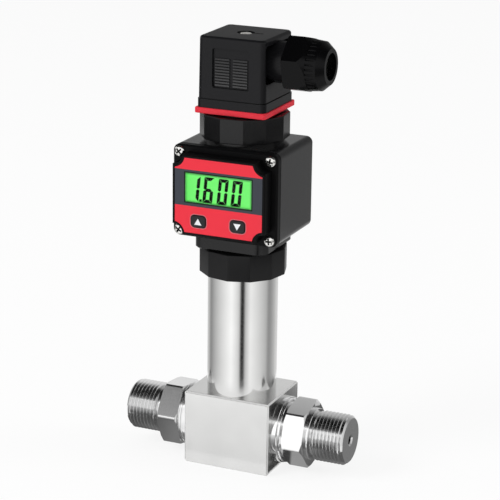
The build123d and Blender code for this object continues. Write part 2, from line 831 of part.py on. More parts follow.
def connector_housing():
    """Square plug shell: skirt, seam, tapered body, ribbed panel, gland pocket and threaded neck."""
    seam_bottom = connector_bottom + skirt_height
    seam_top = seam_bottom + seam_height
    half = connector_width / 2
    skirt = RectangleRounded(skirt_width, skirt_width, connector_corner)
    shell = raised(skirt, connector_bottom, seam_bottom)
    inset = connector_width - 2 * seam_depth
    shell += raised(RectangleRounded(inset, inset, connector_corner), seam_bottom, seam_top)
    body = tapered_square(connector_width, connector_top_width, seam_top, connector_top, connector_corner)
    shell += fillet(body.faces().sort_by(Axis.Z)[-1].edges(), connector_top_edge)

    pocket_floor = half - pocket_depth
    pocket_low = connector_bottom + pocket_bottom
    pocket_high = connector_top - pocket_top_wall
    pocket_width = connector_width - 2 * pocket_side_wall
    pocket = RectangleRounded(pocket_width, pocket_high - pocket_low, pocket_corner)
    pocket = Pos(0, (pocket_low + pocket_high) / 2) * pocket
    shell -= across(pocket, pocket_floor, half + overrun)
    neck = Pos(0, gland_axis_z) * Circle(neck_radius)
    shell += across(neck, pocket_floor - connector_wall, neck_end)

    inner = connector_width - 2 * connector_wall
    roof = connector_top - connector_roof
    shell -= raised(Rectangle(inner, inner), connector_bottom, connector_shelf)
    upper_right = pocket_floor - connector_wall
    upper = Pos((upper_right - inner / 2) / 2, 0) * Rectangle(upper_right + inner / 2, inner)
    shell -= raised(upper, connector_shelf, roof)
    shell -= across(Pos(0, gland_axis_z) * Circle(neck_bore), 0, neck_end)

    shell -= raised(Circle(shank_hole_radius), roof - overrun, connector_top)
    shell -= raised(Circle(screw_recess_radius), connector_top - screw_recess_depth, connector_top)
    slot = Pos(top_slot_reach / 2, 0) * Rectangle(top_slot_reach, top_slot_width)
    shell -= raised(slot, connector_top - top_slot_depth, connector_top)

    panel_middle = connector_bottom + panel_bottom + panel_height / 2
    panel = Pos(0, panel_middle) * RectangleRounded(panel_width, panel_height, panel_corner)
    panel_floor = -half + 2 * panel_depth
    shell -= facing(panel, -half - overrun, panel_floor)
    shell += ribs(panel_floor)
    return shell


def ribs(panel_floor):
    """Two columns of level grip ribs that stand on the panel's floor."""
    column_step = rib_width + rib_gap
    grid = Part()
    for column in range(rib_columns):
        x = (column - (rib_columns - 1) / 2) * column_step
        for row in range(rib_count):
            z = connector_bottom + panel_bottom + rib_bottom + rib_pitch * (row + 0.5)
            rib = Pos(x, z) * Rectangle(rib_width, rib_thickness)
            grid += facing(rib, panel_floor - panel_depth, panel_floor + panel_depth)
    return grid


def terminal_tower_middle():
    """X of the terminal tower's middle; it stands clear of the gland pocket's wall."""
    right = connector_width / 2 - pocket_depth - connector_wall - terminal_gap
    left = -terminal_block_width / 2
    return (left + right) / 2, right - left


def terminal_screw_places():
    """Places of the four wire screws on the terminal tower."""
    middle, width = terminal_tower_middle()
    reach_x = width / 2 - 2 * terminal_screw_radius
    reach_y = terminal_block_width / 2 - 2 * terminal_screw_radius
    return [(middle + x_side * reach_x, y_side * reach_y) for x_side in (-1, 1) for y_side in (-1, 1)]


def terminal_top():
    """Height of the terminal tower's top."""
    return terminal_shoulder + terminal_tower_height


def terminal_block():
    """Moulded block with a socket for each blade and a tower for the wire screws."""
    tower_middle, tower_width = terminal_tower_middle()
    base = Rectangle(terminal_block_width, terminal_block_width)
    tower = Pos(tower_middle, 0) * Rectangle(tower_width, terminal_block_width)
    block = raised(base, terminal_bottom, terminal_shoulder)
    block += raised(tower, terminal_shoulder, terminal_top())
    block = chamfer(block.edges().filter_by(Axis.Z), terminal_corner)
    for place in blade_places():
        block -= raised(blade_outline(place, terminal_slot_clearance), terminal_bottom,
                        platform_top + blade_height + terminal_slot_clearance)
    for x, y in terminal_screw_places():
        block -= raised(Pos(x, y) * Circle(terminal_screw_shank + screw_clearance),
                        terminal_top() - terminal_screw_depth, terminal_top())
    return block - raised(Circle(shank_hole_radius), terminal_bottom, terminal_top())


def terminal_screw(place):
    """Slotted wire screw in the terminal tower."""
    x, y = place
    top = terminal_top()
    screw = turned([(0, top - terminal_screw_depth), (terminal_screw_shank, top - terminal_screw_depth),
                    (terminal_screw_shank, top), (terminal_screw_radius, top),
                    (terminal_screw_radius, top + terminal_screw_head), (0, top + terminal_screw_head)])
    head_top = top + terminal_screw_head
    slot = Rectangle(3 * terminal_screw_radius, terminal_slot_width)
    screw -= raised(slot, head_top - terminal_slot_depth, head_top + overrun)
    return Pos(x, y, 0) * screw


def fixing_screw():
    """Long slotted screw through the connector into the base's insert."""
    seat = connector_top - screw_recess_depth + fixing_head_gap
    top = seat + fixing_head_height
    tip = top - fixing_screw_length
    screw = turned([(0, tip), (fixing_tip_radius, tip), (fixing_screw_radius, tip + fixing_tip_length),
                    (fixing_screw_radius, seat), (fixing_head_radius, seat),
                    (fixing_head_radius, top - fixing_head_edge),
                    (fixing_head_radius - fixing_head_edge, top), (0, top)])
    slot = Rot(0, 0, fixing_slot_angle) * Rectangle(3 * fixing_head_radius, fixing_slot_width)
    return screw - raised(slot, top - fixing_slot_depth, top + overrun)


def seal_start():
    """X of the cable seal's inner end, inside the threaded neck."""
    return neck_end - seal_depth


def gland_seal():
    """Rubber sleeve in the neck's mouth with a flange on its end face."""
    body = neck_bore - tube_inside_clearance
    end = neck_end + seal_flange_thickness
    return turned_across([(seal_start(), seal_bore), (seal_start(), body), (neck_end, body),
                          (neck_end, seal_flange_radius), (end, seal_flange_radius),
                          (end, seal_bore)], gland_axis_z)


def thrust_ring_end():
    """X of the thrust ring's outer face."""
    return neck_end + seal_flange_thickness + thrust_ring_thickness


def gland_thrust_ring():
    """Flat nylon ring that lets the nut turn without dragging the seal."""
    start = neck_end + seal_flange_thickness
    return turned_across([(start, thrust_ring_bore), (start, seal_flange_radius),
                          (thrust_ring_end(), seal_flange_radius),
                          (thrust_ring_end(), thrust_ring_bore)], gland_axis_z)


def gland_nut():
    """Clamping nut: hexagon, fluted round grip, cone nose and a stepped bore."""
    vertex_radius = gland_hexagon_across_flats / 2 / cos(radians(30))
    hexagon = Pos(0, gland_axis_z) * many_sided(vertex_radius, 6, gland_hexagon_angle)
    cone_start = gland_hexagon_end - (vertex_radius - gland_round_radius) / tan(radians(30))
    turned_blank = turned_across([(gland_nut_start, 0),
                                  (gland_nut_start, vertex_radius - gland_hexagon_bevel),
                                  (gland_nut_start + gland_hexagon_bevel, vertex_radius),
                                  (cone_start, vertex_radius), (gland_hexagon_end, gland_round_radius),
                                  (gland_hexagon_end, 0)], gland_axis_z)
    nut = across(hexagon, gland_nut_start, gland_hexagon_end) & turned_blank
    nut += turned_across([(gland_hexagon_end, 0), (gland_hexagon_end, gland_round_radius),
                          (gland_shoulder, gland_shoulder_radius), (gland_nut_end, gland_nose_radius),
                          (gland_nut_end, 0)], gland_axis_z)
    flutes = Part()
    for index in range(gland_flute_count):
        angle = 2 * pi * index / gland_flute_count
        place = Pos(gland_round_radius * cos(angle), gland_axis_z + gland_round_radius * sin(angle))
        flutes += across(place * Circle(gland_flute_radius), gland_hexagon_end, gland_flute_end)
    nut -= flutes
    thread = neck_radius + gland_thread_clearance
    room_end = thrust_ring_end() + gland_throat_gap
    bore = turned_across([(gland_nut_start, 0), (gland_nut_start, thread), (room_end, thread),
                          (room_end + gland_throat_length, gland_hole_radius),
                          (gland_nut_end, gland_hole_radius), (gland_nut_end, 0)], gland_axis_z)
    return nut - bore


pieces = {
    "manifold_block": manifold_block(),
    "port_fitting_left": port_fitting(-1, left_hexagon_angle),
    "port_fitting_right": port_fitting(1, right_hexagon_angle),
    "pressure_cell": pressure_cell(),
    "cell_pins": cell_pins(),
    "cell_ring_left": cell_ring(-1),
    "cell_ring_right": cell_ring(1),
    "sensor_tube": sensor_tube(),
    "board_holder": board_holder(),
    "amplifier_board": amplifier_board(),
    "board_chips": board_chips(),
    "cell_leads": cell_leads(),
    "coupling_nut": coupling_nut(),
    "retaining_ring": retaining_ring(),
    "stub_ring": stub_ring(),
    "display_housing": display_housing(),
    "cover_gasket": cover_gasket(),
    "front_cover": front_cover(),
    "faceplate": faceplate(),
    "lcd_window": lcd_window(),
    "lcd_module": lcd_module(),
    "display_board": display_board(),
    "head_leads": head_leads(),
    "contact_base": contact_base(),
    "screw_insert": screw_insert(),
    "contact_nut": contact_nut(),
    "profile_gasket": profile_gasket(),
    "connector_housing": connector_housing(),
    "terminal_block": terminal_block(),
    "fixing_screw": fixing_screw(),
    "gland_seal": gland_seal(),
    "gland_thrust_ring": gland_thrust_ring(),
    "gland_nut": gland_nut(),
}
for name, place in zip(("up", "down"), key_places()):
    pieces["key_switch_" + name] = key_switch(place)
    pieces["button_" + name] = key(place)
for number, place in enumerate(cover_screw_places(), 1):
    pieces["cover_screw_" + str(number)] = cover_screw(place)
for name, place in zip(("line", "load", "spare", "earth"), blade_places()):
    pieces["blade_" + name] = contact_blade(place)
for number, place in enumerate(terminal_screw_places(), 1):
    pieces["terminal_screw_" + str(number)] = terminal_screw(place)

os.makedirs("parts", exist_ok=True)
for node, solid in pieces.items():
    export_step(solid, "parts/" + node + ".step")
print("port end", round(port_end, 3), "gland axis", round(gland_axis_z, 3), "top", round(connector_top, 3))
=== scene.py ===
import bmesh
import bpy
import numpy as np
from mathutils import Matrix, Vector


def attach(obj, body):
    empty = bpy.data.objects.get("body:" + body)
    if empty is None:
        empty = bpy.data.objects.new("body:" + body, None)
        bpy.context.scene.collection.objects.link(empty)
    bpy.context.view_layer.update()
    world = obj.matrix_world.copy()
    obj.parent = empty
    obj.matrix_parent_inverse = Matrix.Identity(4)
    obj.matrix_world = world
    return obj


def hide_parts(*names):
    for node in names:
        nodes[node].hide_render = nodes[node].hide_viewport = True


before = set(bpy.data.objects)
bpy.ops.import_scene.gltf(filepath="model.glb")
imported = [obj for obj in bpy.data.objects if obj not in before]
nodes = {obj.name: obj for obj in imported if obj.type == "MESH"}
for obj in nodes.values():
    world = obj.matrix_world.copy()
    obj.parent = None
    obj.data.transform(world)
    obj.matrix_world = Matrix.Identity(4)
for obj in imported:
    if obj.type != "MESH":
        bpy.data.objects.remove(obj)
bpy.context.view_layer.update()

MM = 0.001
scene = bpy.context.scene

# The viewpoint
# A long lens some 0.77 m away, turned 24 degrees to the object's right and 17 degrees above it.
# The frame is square, and its middle falls on the lower edge of the display housing.
camera_azimuth, camera_elevation, camera_roll = np.radians([23.75, 17.1, 0.75])
camera_distance = 765.0
focal_pixels, frame_pixels, sensor_width = 1965.0, 500.0, 36.0
aim_right, aim_height = 2.58, 86.5
nearest_metres, farthest_metres = 0.01, 50.0

back = np.array([np.sin(camera_azimuth) * np.cos(camera_elevation),
                 -np.cos(camera_azimuth) * np.cos(camera_elevation), np.sin(camera_elevation)])
level_right = np.array([np.cos(camera_azimuth), np.sin(camera_azimuth), 0.0])
level_up = np.cross(back, level_right)
right = np.cos(camera_roll) * level_right + np.sin(camera_roll) * level_up
up = -np.sin(camera_roll) * level_right + np.cos(camera_roll) * level_up
eye = level_right * aim_right + np.array([0, 0, aim_height]) + back * camera_distance

lens = bpy.data.cameras.new("viewpoint")
lens.sensor_width = sensor_width
lens.lens = focal_pixels * sensor_width / frame_pixels
lens.clip_start, lens.clip_end = nearest_metres, farthest_metres
camera = bpy.data.objects.new("viewpoint", lens)
placing = Matrix([[*axis] for axis in zip(right, up, back)]).to_4x4()
placing.translation = Vector(eye * MM)
camera.matrix_world = placing
scene.collection.objects.link(camera)
scene.camera = camera

# Manifold block: a sawn square bar of 304 stainless steel, ground on a belt on all sides, with its
# sharp edges filed. Belt grinding leaves fine upright scratches and a soft, pale reflection, and the
# filed edges scatter the light.
ground_steel = "#E5E5E4"
belt_scratch_pitch, scratch_narrowing, scratch_depth = 0.35, 0.02, 0.02
scratch_span, cloud_span, count_span = (0.25, 0.75), (0.3, 0.7), (1.3, 1.7)
clouds_per_metre, darkest_cloud = 60.0, 0.93
filed_metallic, filed_roughness = 0.25, 0.5
block_middle, block_inside_edges = (0, 0, 15.0), (17.54, 14.44, 14.44)
edge_step = 0.01


def linear(code, alpha=1.0):
    """Turns an sRGB hex colour to linear red, green, blue and alpha, by the standard two-part curve."""
    parts = np.array([int(code[i:i + 2], 16) for i in (1, 3, 5)]) / 255
    parts = np.where(parts <= 0.04045, parts / 12.92, ((parts + 0.055) / 1.055) ** 2.4)
    return (*parts, alpha)


def new_finish(name):
    """A fresh material with only its output node, its node tree and that output."""
    material = bpy.data.materials.new(name)
    material.use_nodes = True
    material.node_tree.nodes.clear()
    output = material.node_tree.nodes.new("ShaderNodeOutputMaterial")
    return material, material.node_tree, output


def add_node(tree, kind, fields=None, ordered=(), **named):
    """Adds one node to the tree. fields are its settings. ordered and named are its input values, or the
    outputs of other nodes to link to its inputs, by the inputs' order and by their names. In order, a
    MapRange takes its value, the range that comes in and the range that goes out."""
    node = tree.nodes.new("ShaderNode" + kind)
    for name, value in (fields or {}).items():
        setattr(node, name, value)
    inputs = [socket for socket in node.inputs if socket.enabled]
    pairs = list(zip(inputs, ordered))
    for name, value in named.items():
        pairs.append((next(socket for socket in inputs if socket.name == name.replace("_", " ")), value))
    for place, value in pairs:
        if isinstance(value, bpy.types.NodeSocket):
            tree.links.new(value, place)
        else:
            place.default_value = value
    return node


def give(material, *names):
    """Puts one material on the named CAD nodes."""
    for name in names:
        slots = nodes[name].data.materials
        slots.clear()
        slots.append(material)


def axes_outside(tree, place, middle, half):
    """How many of a place's three coordinates lie outside a box: the size of each one's distance from the
    box's middle makes a step where it passes half the box's width, and the three steps are added."""
    off = add_node(tree, "VectorMath", {"operation": "SUBTRACT"}, (place, tuple(np.array(middle) * MM)))
    size = add_node(tree, "VectorMath", {"operation": "ABSOLUTE"}, (off.outputs[0],)).outputs[0]
    edge, past = tuple(np.array(half) * MM), tuple((np.array(half) + edge_step) * MM)
    steps = add_node(tree, "MapRange", {"data_type": "FLOAT_VECTOR"},
                     (size, edge, past, (0, 0, 0), (1, 1, 1))).outputs["Vector"]
    return add_node(tree, "VectorMath", {"operation": "DOT_PRODUCT"}, (steps, (1, 1, 1))).outputs["Value"]


def brushed_metal(name, colour, roughness, pitch, along, unevenness, relief, root_shade=None, filed=None):
    """Metal with fine marks drawn out along one axis. The marks are noise, stretched along that axis and
    repeated every pitch across it, that vary the roughness, tint the colour and lift the surface.
    root_shade paints shade into the thread's roots and the bore: it darkens the colour towards a line
    along X, and gives the line's height, two radii, and the share left at the first. filed gives the box
    whose outside, along two axes at once, is a rough edge that scatters the light."""
    material, tree, output = new_finish(name)
    place = add_node(tree, "TexCoord").outputs["Object"]
    scale = [1 / (pitch * MM)] * 3
    scale["xyz".index(along)] *= scratch_narrowing
    stretched = add_node(tree, "Mapping", Vector=place, Scale=scale).outputs["Vector"]
    marks = add_node(tree, "TexNoise", Vector=stretched, Scale=1.0, Detail=3.0).outputs["Fac"]
    clouds = add_node(tree, "TexNoise", Vector=place, Scale=clouds_per_metre, Detail=2.0).outputs["Fac"]
    rough = add_node(tree, "MapRange", None, (marks, *scratch_span, roughness - unevenness,
                                              roughness + unevenness)).outputs[0]
    shade = add_node(tree, "MapRange", None, (clouds, *cloud_span, darkest_cloud, 1.0)).outputs[0]
    # Painted shade: darker towards the port's axis, in the thread's roots, the relief and the bore.
    if root_shade:
        height, inner, outer, left = root_shade
        across = add_node(tree, "VectorMath", {"operation": "MULTIPLY_ADD"},
                          (place, (0, 1, 1), (0, 0, -height * MM))).outputs[0]
        distance = add_node(tree, "VectorMath", {"operation": "LENGTH"}, (across,)).outputs["Value"]
        shade = add_node(tree, "MapRange", None,
                         (distance, inner * MM, outer * MM, left, shade)).outputs[0]
    tint = add_node(tree, "Mix", {"data_type": "RGBA", "blend_type": "MULTIPLY"},
                    (1.0, linear(colour), shade))
    tinted = next(s for s in tint.outputs if s.enabled)
    bump = add_node(tree, "Bump", Strength=relief, Distance=scratch_depth * MM, Height=marks).outputs[0]
    shader = add_node(tree, "BsdfPrincipled", Base_Color=tinted, Metallic=1.0, Roughness=rough,
                      Normal=bump)
    if filed:
        count = axes_outside(tree, place, *filed)
        for socket, plain, edge in (("Metallic", 1.0, filed_metallic),
                                    ("Roughness", rough, filed_roughness)):
            share = add_node(tree, "MapRange", None, (count, *count_span, plain, edge)).outputs[0]
            tree.links.new(share, shader.inputs[socket])
    tree.links.new(shader.outputs["BSDF"], output.inputs["Surface"])
    return material


block_steel = brushed_metal("belt_ground_304_steel", ground_steel, 0.2, belt_scratch_pitch, "z", 0.05,
                            0.12, filed=(block_middle, block_inside_edges))
give(block_steel, "manifold_block")

# Port fittings: 24 mm hexagon bar of 304 stainless steel, turned on a lathe and welded into the block,
# with two weld rings, a neck, the hexagon, a collar, a groove, an M20 x 1.5 outside thread and a bore.
# The tool's fine rings draw the reflections out, and the faced ends are duller.
port_height = 15.0
ring_start, ring_end = 18.1, 20.4
groove_end, second_ring_end, neck_end = 20.9, 21.7, 22.6
hexagon_end, collar_end, relief_end, port_end = 31.2, 32.6, 33.6, 46.8
spigot_start = 7.9
ring_radius, groove_radius, second_ring_radius, neck_radius = 13.2, 12.5, 12.9, 11.2
hexagon_half, hexagon_turned_share, hexagon_corner_round = 12.0, 0.7, 1.2
collar_radius, relief_radius, spigot_radius = 10.4, 9.1, 9.5
thread_radius, thread_pitch, thread_depth, thread_end_radius = 10.0, 1.5, 0.92, 8.8
port_bore, bore_bevel, chamber_radius, chamber_end = 1.75, 0.6, 6.6, 8.7
edge_break = 0.15
left_hexagon_corner, right_hexagon_corner = -6.0, 11.4
port_columns, column_crowding, cone_rows = 192, 0.7, 5
turned_steel, turning_pitch, facing_depth = "#F9F9F9", 0.3, 0.05
# Painted shade in the thread's roots and the bore: radii about the port's axis, and the share of the
# colour left inside them.
root_shade_radii, root_shade_share = (9.0, 9.95), 0.75
merge_distance = 0.002
# One turn of the thread: places along it as shares of the pitch, and heights as shares of the depth.
thread_places = np.array([0, 0.03, 0.095, 0.125, 0.28, 0.437, 0.48, 0.645, 0.688, 0.845])
thread_heights = np.array([0.94, 1, 1, 0.94, 0.5, 0.05, 0, 0, 0.05, 0.5])


def mesh_piece(name, points, faces, material, body, replaced=(), sharp=35.0):
    """Makes a mesh of points in millimetres: doubles merged, faces turned outwards, and edges that bend
    by more than the sharp angle kept crisp. The piece rides on its body."""
    mesh = bpy.data.meshes.new(name)
    mesh.from_pydata((np.asarray(points, float).reshape(-1, 3) * MM).tolist(), [], faces)
    work = bmesh.new()
    work.from_mesh(mesh)
    bmesh.ops.remove_doubles(work, verts=work.verts, dist=merge_distance * MM)
    bmesh.ops.dissolve_degenerate(work, edges=work.edges, dist=merge_distance * MM)
    bmesh.ops.recalc_face_normals(work, faces=work.faces)
    work.to_mesh(mesh)
    work.free()
    mesh.shade_smooth()
    mesh.set_sharp_from_angle(angle=np.radians(sharp))
    mesh.materials.append(material)
    piece = bpy.data.objects.new(name, mesh)
    scene.collection.objects.link(piece)
    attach(piece, body)
    if replaced:
        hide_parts(*replaced)
    return piece


def paint(piece, material, chosen):
    """Gives a second material to the faces whose middles, an array in millimetres, are chosen."""
    mesh = piece.data
    mesh.materials.append(material)
    middles = np.empty(3 * len(mesh.polygons))
    mesh.polygons.foreach_get("center", middles)
    number = len(mesh.materials) - 1
    old = np.empty(len(mesh.polygons), int)
    mesh.polygons.foreach_get("material_index", old)
    mesh.polygons.foreach_set("material_index", np.where(chosen(middles.reshape(-1, 3) / MM), number, old))


def tube_faces(rows, columns, climb=0):
    """Faces of a grid that closes on itself sideways. The last column joins the first one climb rows
    further on, which lets a thread's grid run on from turn to turn."""
    row, column = np.meshgrid(np.arange(rows - 1), np.arange(columns), indexing="ij")
    step = np.where(column == columns - 1, climb, 0)
    near, far = row * columns + column, (row + 1) * columns + column
    beside = (row + step) * columns + (column + 1) % columns
    corners = np.stack([near, beside, beside + columns, far], -1)
    return corners[row + 1 + step < rows].tolist()


def joined(parts):
    """One list of points and one of faces from several (points, faces) pairs."""
    points, faces, count = [], [], 0
    for some, their in parts:
        some = np.asarray(some, float).reshape(-1, 3)
        points.append(some)
        faces += [[count + i for i in face] for face in their]
        count += len(some)
    return np.concatenate(points), faces


def polygon_distance(turn, sides, half_width, corner, round_radius):
    """Distance from the centre to a regular polygon with round corners in the direction turn. It is the
    lesser of the side's distance over the cosine of the angle off the side's middle, and the distance to
    the corner's circle, taken by the law of cosines. corner is a corner's direction."""
    wedge = 2 * np.pi / sides
    off = np.mod(turn - corner, wedge) - wedge / 2
    beside = wedge / 2 - abs(off)
    centre = (half_width - round_radius) / np.cos(wedge / 2)
    reach = np.arctan2(round_radius * np.sin(wedge / 2), centre + round_radius * np.cos(wedge / 2))
    arc = centre * np.cos(beside)
    arc += np.sqrt(np.maximum(round_radius ** 2 - (centre * np.sin(beside)) ** 2, 0))
    return np.where(beside < reach, arc, half_width / np.cos(off))


def ring_points(side, place, radius, turn):
    """Points round the port's axis: x is the place, y and z the radius times the cosine and sine."""
    return np.stack([side * place, radius * np.cos(turn), port_height + radius * np.sin(turn)], -1)


def outline_points(side, outline, turn):
    """Ring points for each place and radius of a turned outline, one row each."""
    place, radius = np.array(outline).T
    return ring_points(side, place[:, None] + 0 * turn, radius[:, None] + 0 * turn, turn)


def port_fitting(name, side, hexagon_corner, body):
    """Surface of a turn about the port's axis and a place along it. The radius is the turned outline's.
    At the hexagon it is the hexagon's or its end cone's, whichever is less, with a row of points where
    the two cross. On the thread it follows a trapezium wave along a helix. The columns crowd towards the
    hexagon's corners by a sine."""
    even = 2 * np.pi * np.arange(port_columns) / port_columns
    share = (even - column_crowding * np.sin(6 * even) / 6) / (2 * np.pi)
    corner_turn = np.radians(hexagon_corner)
    turn = corner_turn + 2 * np.pi * share
    before = [(spigot_start, chamber_radius), (spigot_start, spigot_radius), (ring_start, spigot_radius),
              (ring_start, ring_radius - edge_break), (ring_start + edge_break, ring_radius),
              (ring_end - edge_break, ring_radius), (ring_end, ring_radius - edge_break),
              (ring_end, groove_radius), (groove_end, groove_radius),
              (groove_end, second_ring_radius - edge_break),
              (groove_end + edge_break, second_ring_radius),
              (second_ring_end - edge_break, second_ring_radius),
              (second_ring_end, second_ring_radius - edge_break),
              (second_ring_end, neck_radius), (neck_end, neck_radius)]
    after = [(hexagon_end, collar_radius), (collar_end - edge_break, collar_radius),
             (collar_end, collar_radius - edge_break), (collar_end, relief_radius),
             (relief_end, relief_radius)]
    vertex = hexagon_half / np.cos(np.pi / 6)
    drop = (vertex - hexagon_half) * hexagon_turned_share
    rise = drop * np.tan(np.pi / 6)
    flat = polygon_distance(turn, 6, hexagon_half, corner_turn, hexagon_corner_round)
    crossing = np.clip(1 - (vertex - flat) / drop, 0, 1)
    cones = []
    steps = np.linspace(0, 1, cone_rows)
    for end, way, shares in ((neck_end, 1, steps), (hexagon_end, -1, steps[::-1])):
        for step in shares:
            cone = vertex - drop * (1 - step * crossing)
            cones.append(ring_points(side, end + way * rise * step * crossing, np.minimum(flat, cone),
                                     turn))
    turned = np.concatenate([outline_points(side, before, turn), cones,
                             outline_points(side, after, turn)])

    turns = int(np.ceil((port_end - relief_end) / thread_pitch)) + 2
    along = (np.arange(turns)[:, None] + thread_places).ravel()
    lift = np.tile(thread_heights, turns)
    where = relief_end + thread_pitch * (along[:, None] - 1 + share)
    tall = thread_radius - thread_depth * (1 - lift)[:, None] + 0 * share
    limit = np.minimum(relief_radius + (where - relief_end), thread_end_radius + (port_end - where))
    tall = np.minimum(tall, limit)
    tall = np.where(where <= relief_end, relief_radius, tall)
    tall = np.where(where >= port_end, thread_end_radius, tall)
    thread = ring_points(side, np.clip(where, relief_end, port_end), tall, turn)

    inner = [(port_end, thread_end_radius), (port_end, port_bore + bore_bevel),
             (port_end - bore_bevel, port_bore), (chamber_end, port_bore), (chamber_end, chamber_radius),
             (spigot_start, chamber_radius)]
    points, faces = joined([(turned, tube_faces(len(turned), port_columns)),
                            (thread, tube_faces(len(along), port_columns, len(thread_places))),
                            (outline_points(side, inner, turn), tube_faces(len(inner), port_columns))])
    piece = mesh_piece(name + "_turned", points, faces, lathe_steel, body, [name])
    paint(piece, faced_steel, lambda at: abs(at[:, 0]) > port_end - facing_depth)


# The turned steel carries painted shade: it is darker inside a radius about the port's axis, in the
# thread's roots, the relief and the bore.
lathe_steel = brushed_metal("lathe_turned_304_steel", turned_steel, 0.15, turning_pitch, "y", 0.04, 0.1,
                            (port_height, *root_shade_radii, root_shade_share))
faced_steel = brushed_metal("lathe_faced_304_steel", turned_steel, 0.19, turning_pitch, "y", 0.04, 0.1)
port_fitting("port_fitting_left", -1, left_hexagon_corner, "transmitter_body")
port_fitting("port_fitting_right", 1, right_hexagon_corner, "transmitter_body")

# Sensor tube: drawn 304 stainless tube, 27.5 mm across, polished after it was laser-welded on the block.
# The polish was done on a lathe, so it leaves faint level rings under a long, clear reflection.
tube_radius, tube_wall, tube_foot, tube_top = 13.75, 1.5, 30.0, 84.6
tube_columns, tube_end_bevel = 160, 0.6
tube_shade, polish_pitch = "#E5E5E4", 0.5


def round_axis(radius, turn, height):
    """Points round the z axis: x and y are the radius times the turn's cosine and sine."""
    return np.stack([radius * np.cos(turn), radius * np.sin(turn), height + 0 * turn], -1)


def turned_about_z(outline, columns):
    """Surface of revolution: a closed outline of (radius, height) carried round the z axis."""
    radius, height = np.array([*outline, outline[0]]).T
    turn = 2 * np.pi * np.arange(columns) / columns
    return round_axis(radius[:, None], turn, height[:, None]), tube_faces(len(radius), columns)


tube_steel = brushed_metal("polished_304_tube", tube_shade, 0.13, polish_pitch, "x", 0.03, 0.05)
tube_inside = tube_radius - tube_wall
tube_outline = [(tube_inside, tube_foot), (tube_radius, tube_foot),
                (tube_radius, tube_top - tube_end_bevel), (tube_radius - tube_end_bevel, tube_top),
                (tube_inside, tube_top)]
points, faces = turned_about_z(tube_outline, tube_columns)
mesh_piece("sensor_tube_polished", points, faces, tube_steel, "transmitter_body",
           ["sensor_tube"])

# Pressure cell and amplifier, shut in the block and the tube: a 316 steel cell with gilt pins between two
# nitrile rings, and a glass-epoxy board with moulded chips in a nylon holder.
mottles_per_metre, mottle_span, grain_depth = 90.0, (0.35, 0.65), 0.03


def plain_finish(name, colour, roughness, metallic=0.0, grain=0.5, relief=0.1, mottle=0.06, **extra):
    """A moulded, cast or plated surface. Noise of the given grain in millimetres lifts it a little, and a
    broader one darkens it here and there by up to the mottle's share."""
    material, tree, output = new_finish(name)
    place = add_node(tree, "TexCoord").outputs["Object"]
    fine = add_node(tree, "TexNoise", Vector=place, Scale=1 / (grain * MM), Detail=2.0).outputs["Fac"]
    broad = add_node(tree, "TexNoise", Vector=place, Scale=mottles_per_metre, Detail=2.0).outputs["Fac"]
    share = add_node(tree, "MapRange", None, (broad, *mottle_span, 0.0, 1.0)).outputs[0]
    ends = [tuple(c * (1 - mottle) for c in linear(colour)[:3]) + (1.0,), linear(colour)]
    ramp = add_node(tree, "ValToRGB", Fac=share)
    for end, shade in zip(ramp.color_ramp.elements, ends):
        end.color = shade
    bump = add_node(tree, "Bump", Strength=relief, Distance=grain_depth * MM, Height=fine).outputs[0]
    shader = add_node(tree, "BsdfPrincipled", Base_Color=ramp.outputs["Color"], Metallic=metallic,
                      Roughness=roughness, Normal=bump, **extra)
    tree.links.new(shader.outputs["BSDF"], output.inputs["Surface"])
    return material


give(brushed_metal("turned_316_steel", "#B9B9B8", 0.25, 0.3, "y", 0.05, 0.2), "pressure_cell",
     "retaining_ring")
give(plain_finish("gilt_contact_pins", "#D9AE5B", 0.2, metallic=1.0), "cell_pins")
nitrile = plain_finish("black_nitrile_rubber", "#1B1B1B", 0.55, grain=0.3, relief=0.2)
give(nitrile, "cell_ring_left", "cell_ring_right", "stub_ring", "cover_gasket", "gland_seal")
give(plain_finish("natural_nylon", "#E4E1D6", 0.45, Subsurface_Weight=0.1), "board_holder",
     "gland_thrust_ring")
give(plain_finish("green_board_lacquer", "#1E6B3C", 0.3, Coat_Weight=0.4), "amplifier_board",
     "display_board")
give(plain_finish("moulded_chip_epoxy", "#202124", 0.5), "board_chips", "key_switch_up",
     "key_switch_down")
give(plain_finish("silicone_lead_sleeve", "#6A6A70", 0.5), "cell_leads", "head_leads")

# Coupling nut: a twelve-sided nut of black glass-filled nylon, moulded with an inside thread. The mould
# leaves its corners and ends a little round, and its skin satin, so each flat catches the light apart.
nut_sides, nut_corner_round, nut_end_round = 12, 0.7, 0.35
coupling_vertex, coupling_corner = 17.2, 3.0
coupling_bottom, coupling_top, coupling_lip_bottom = 78.6, 89.1, 87.6
coupling_thread, coupling_room, coupling_lip = 13.85, 15.3, 13.8


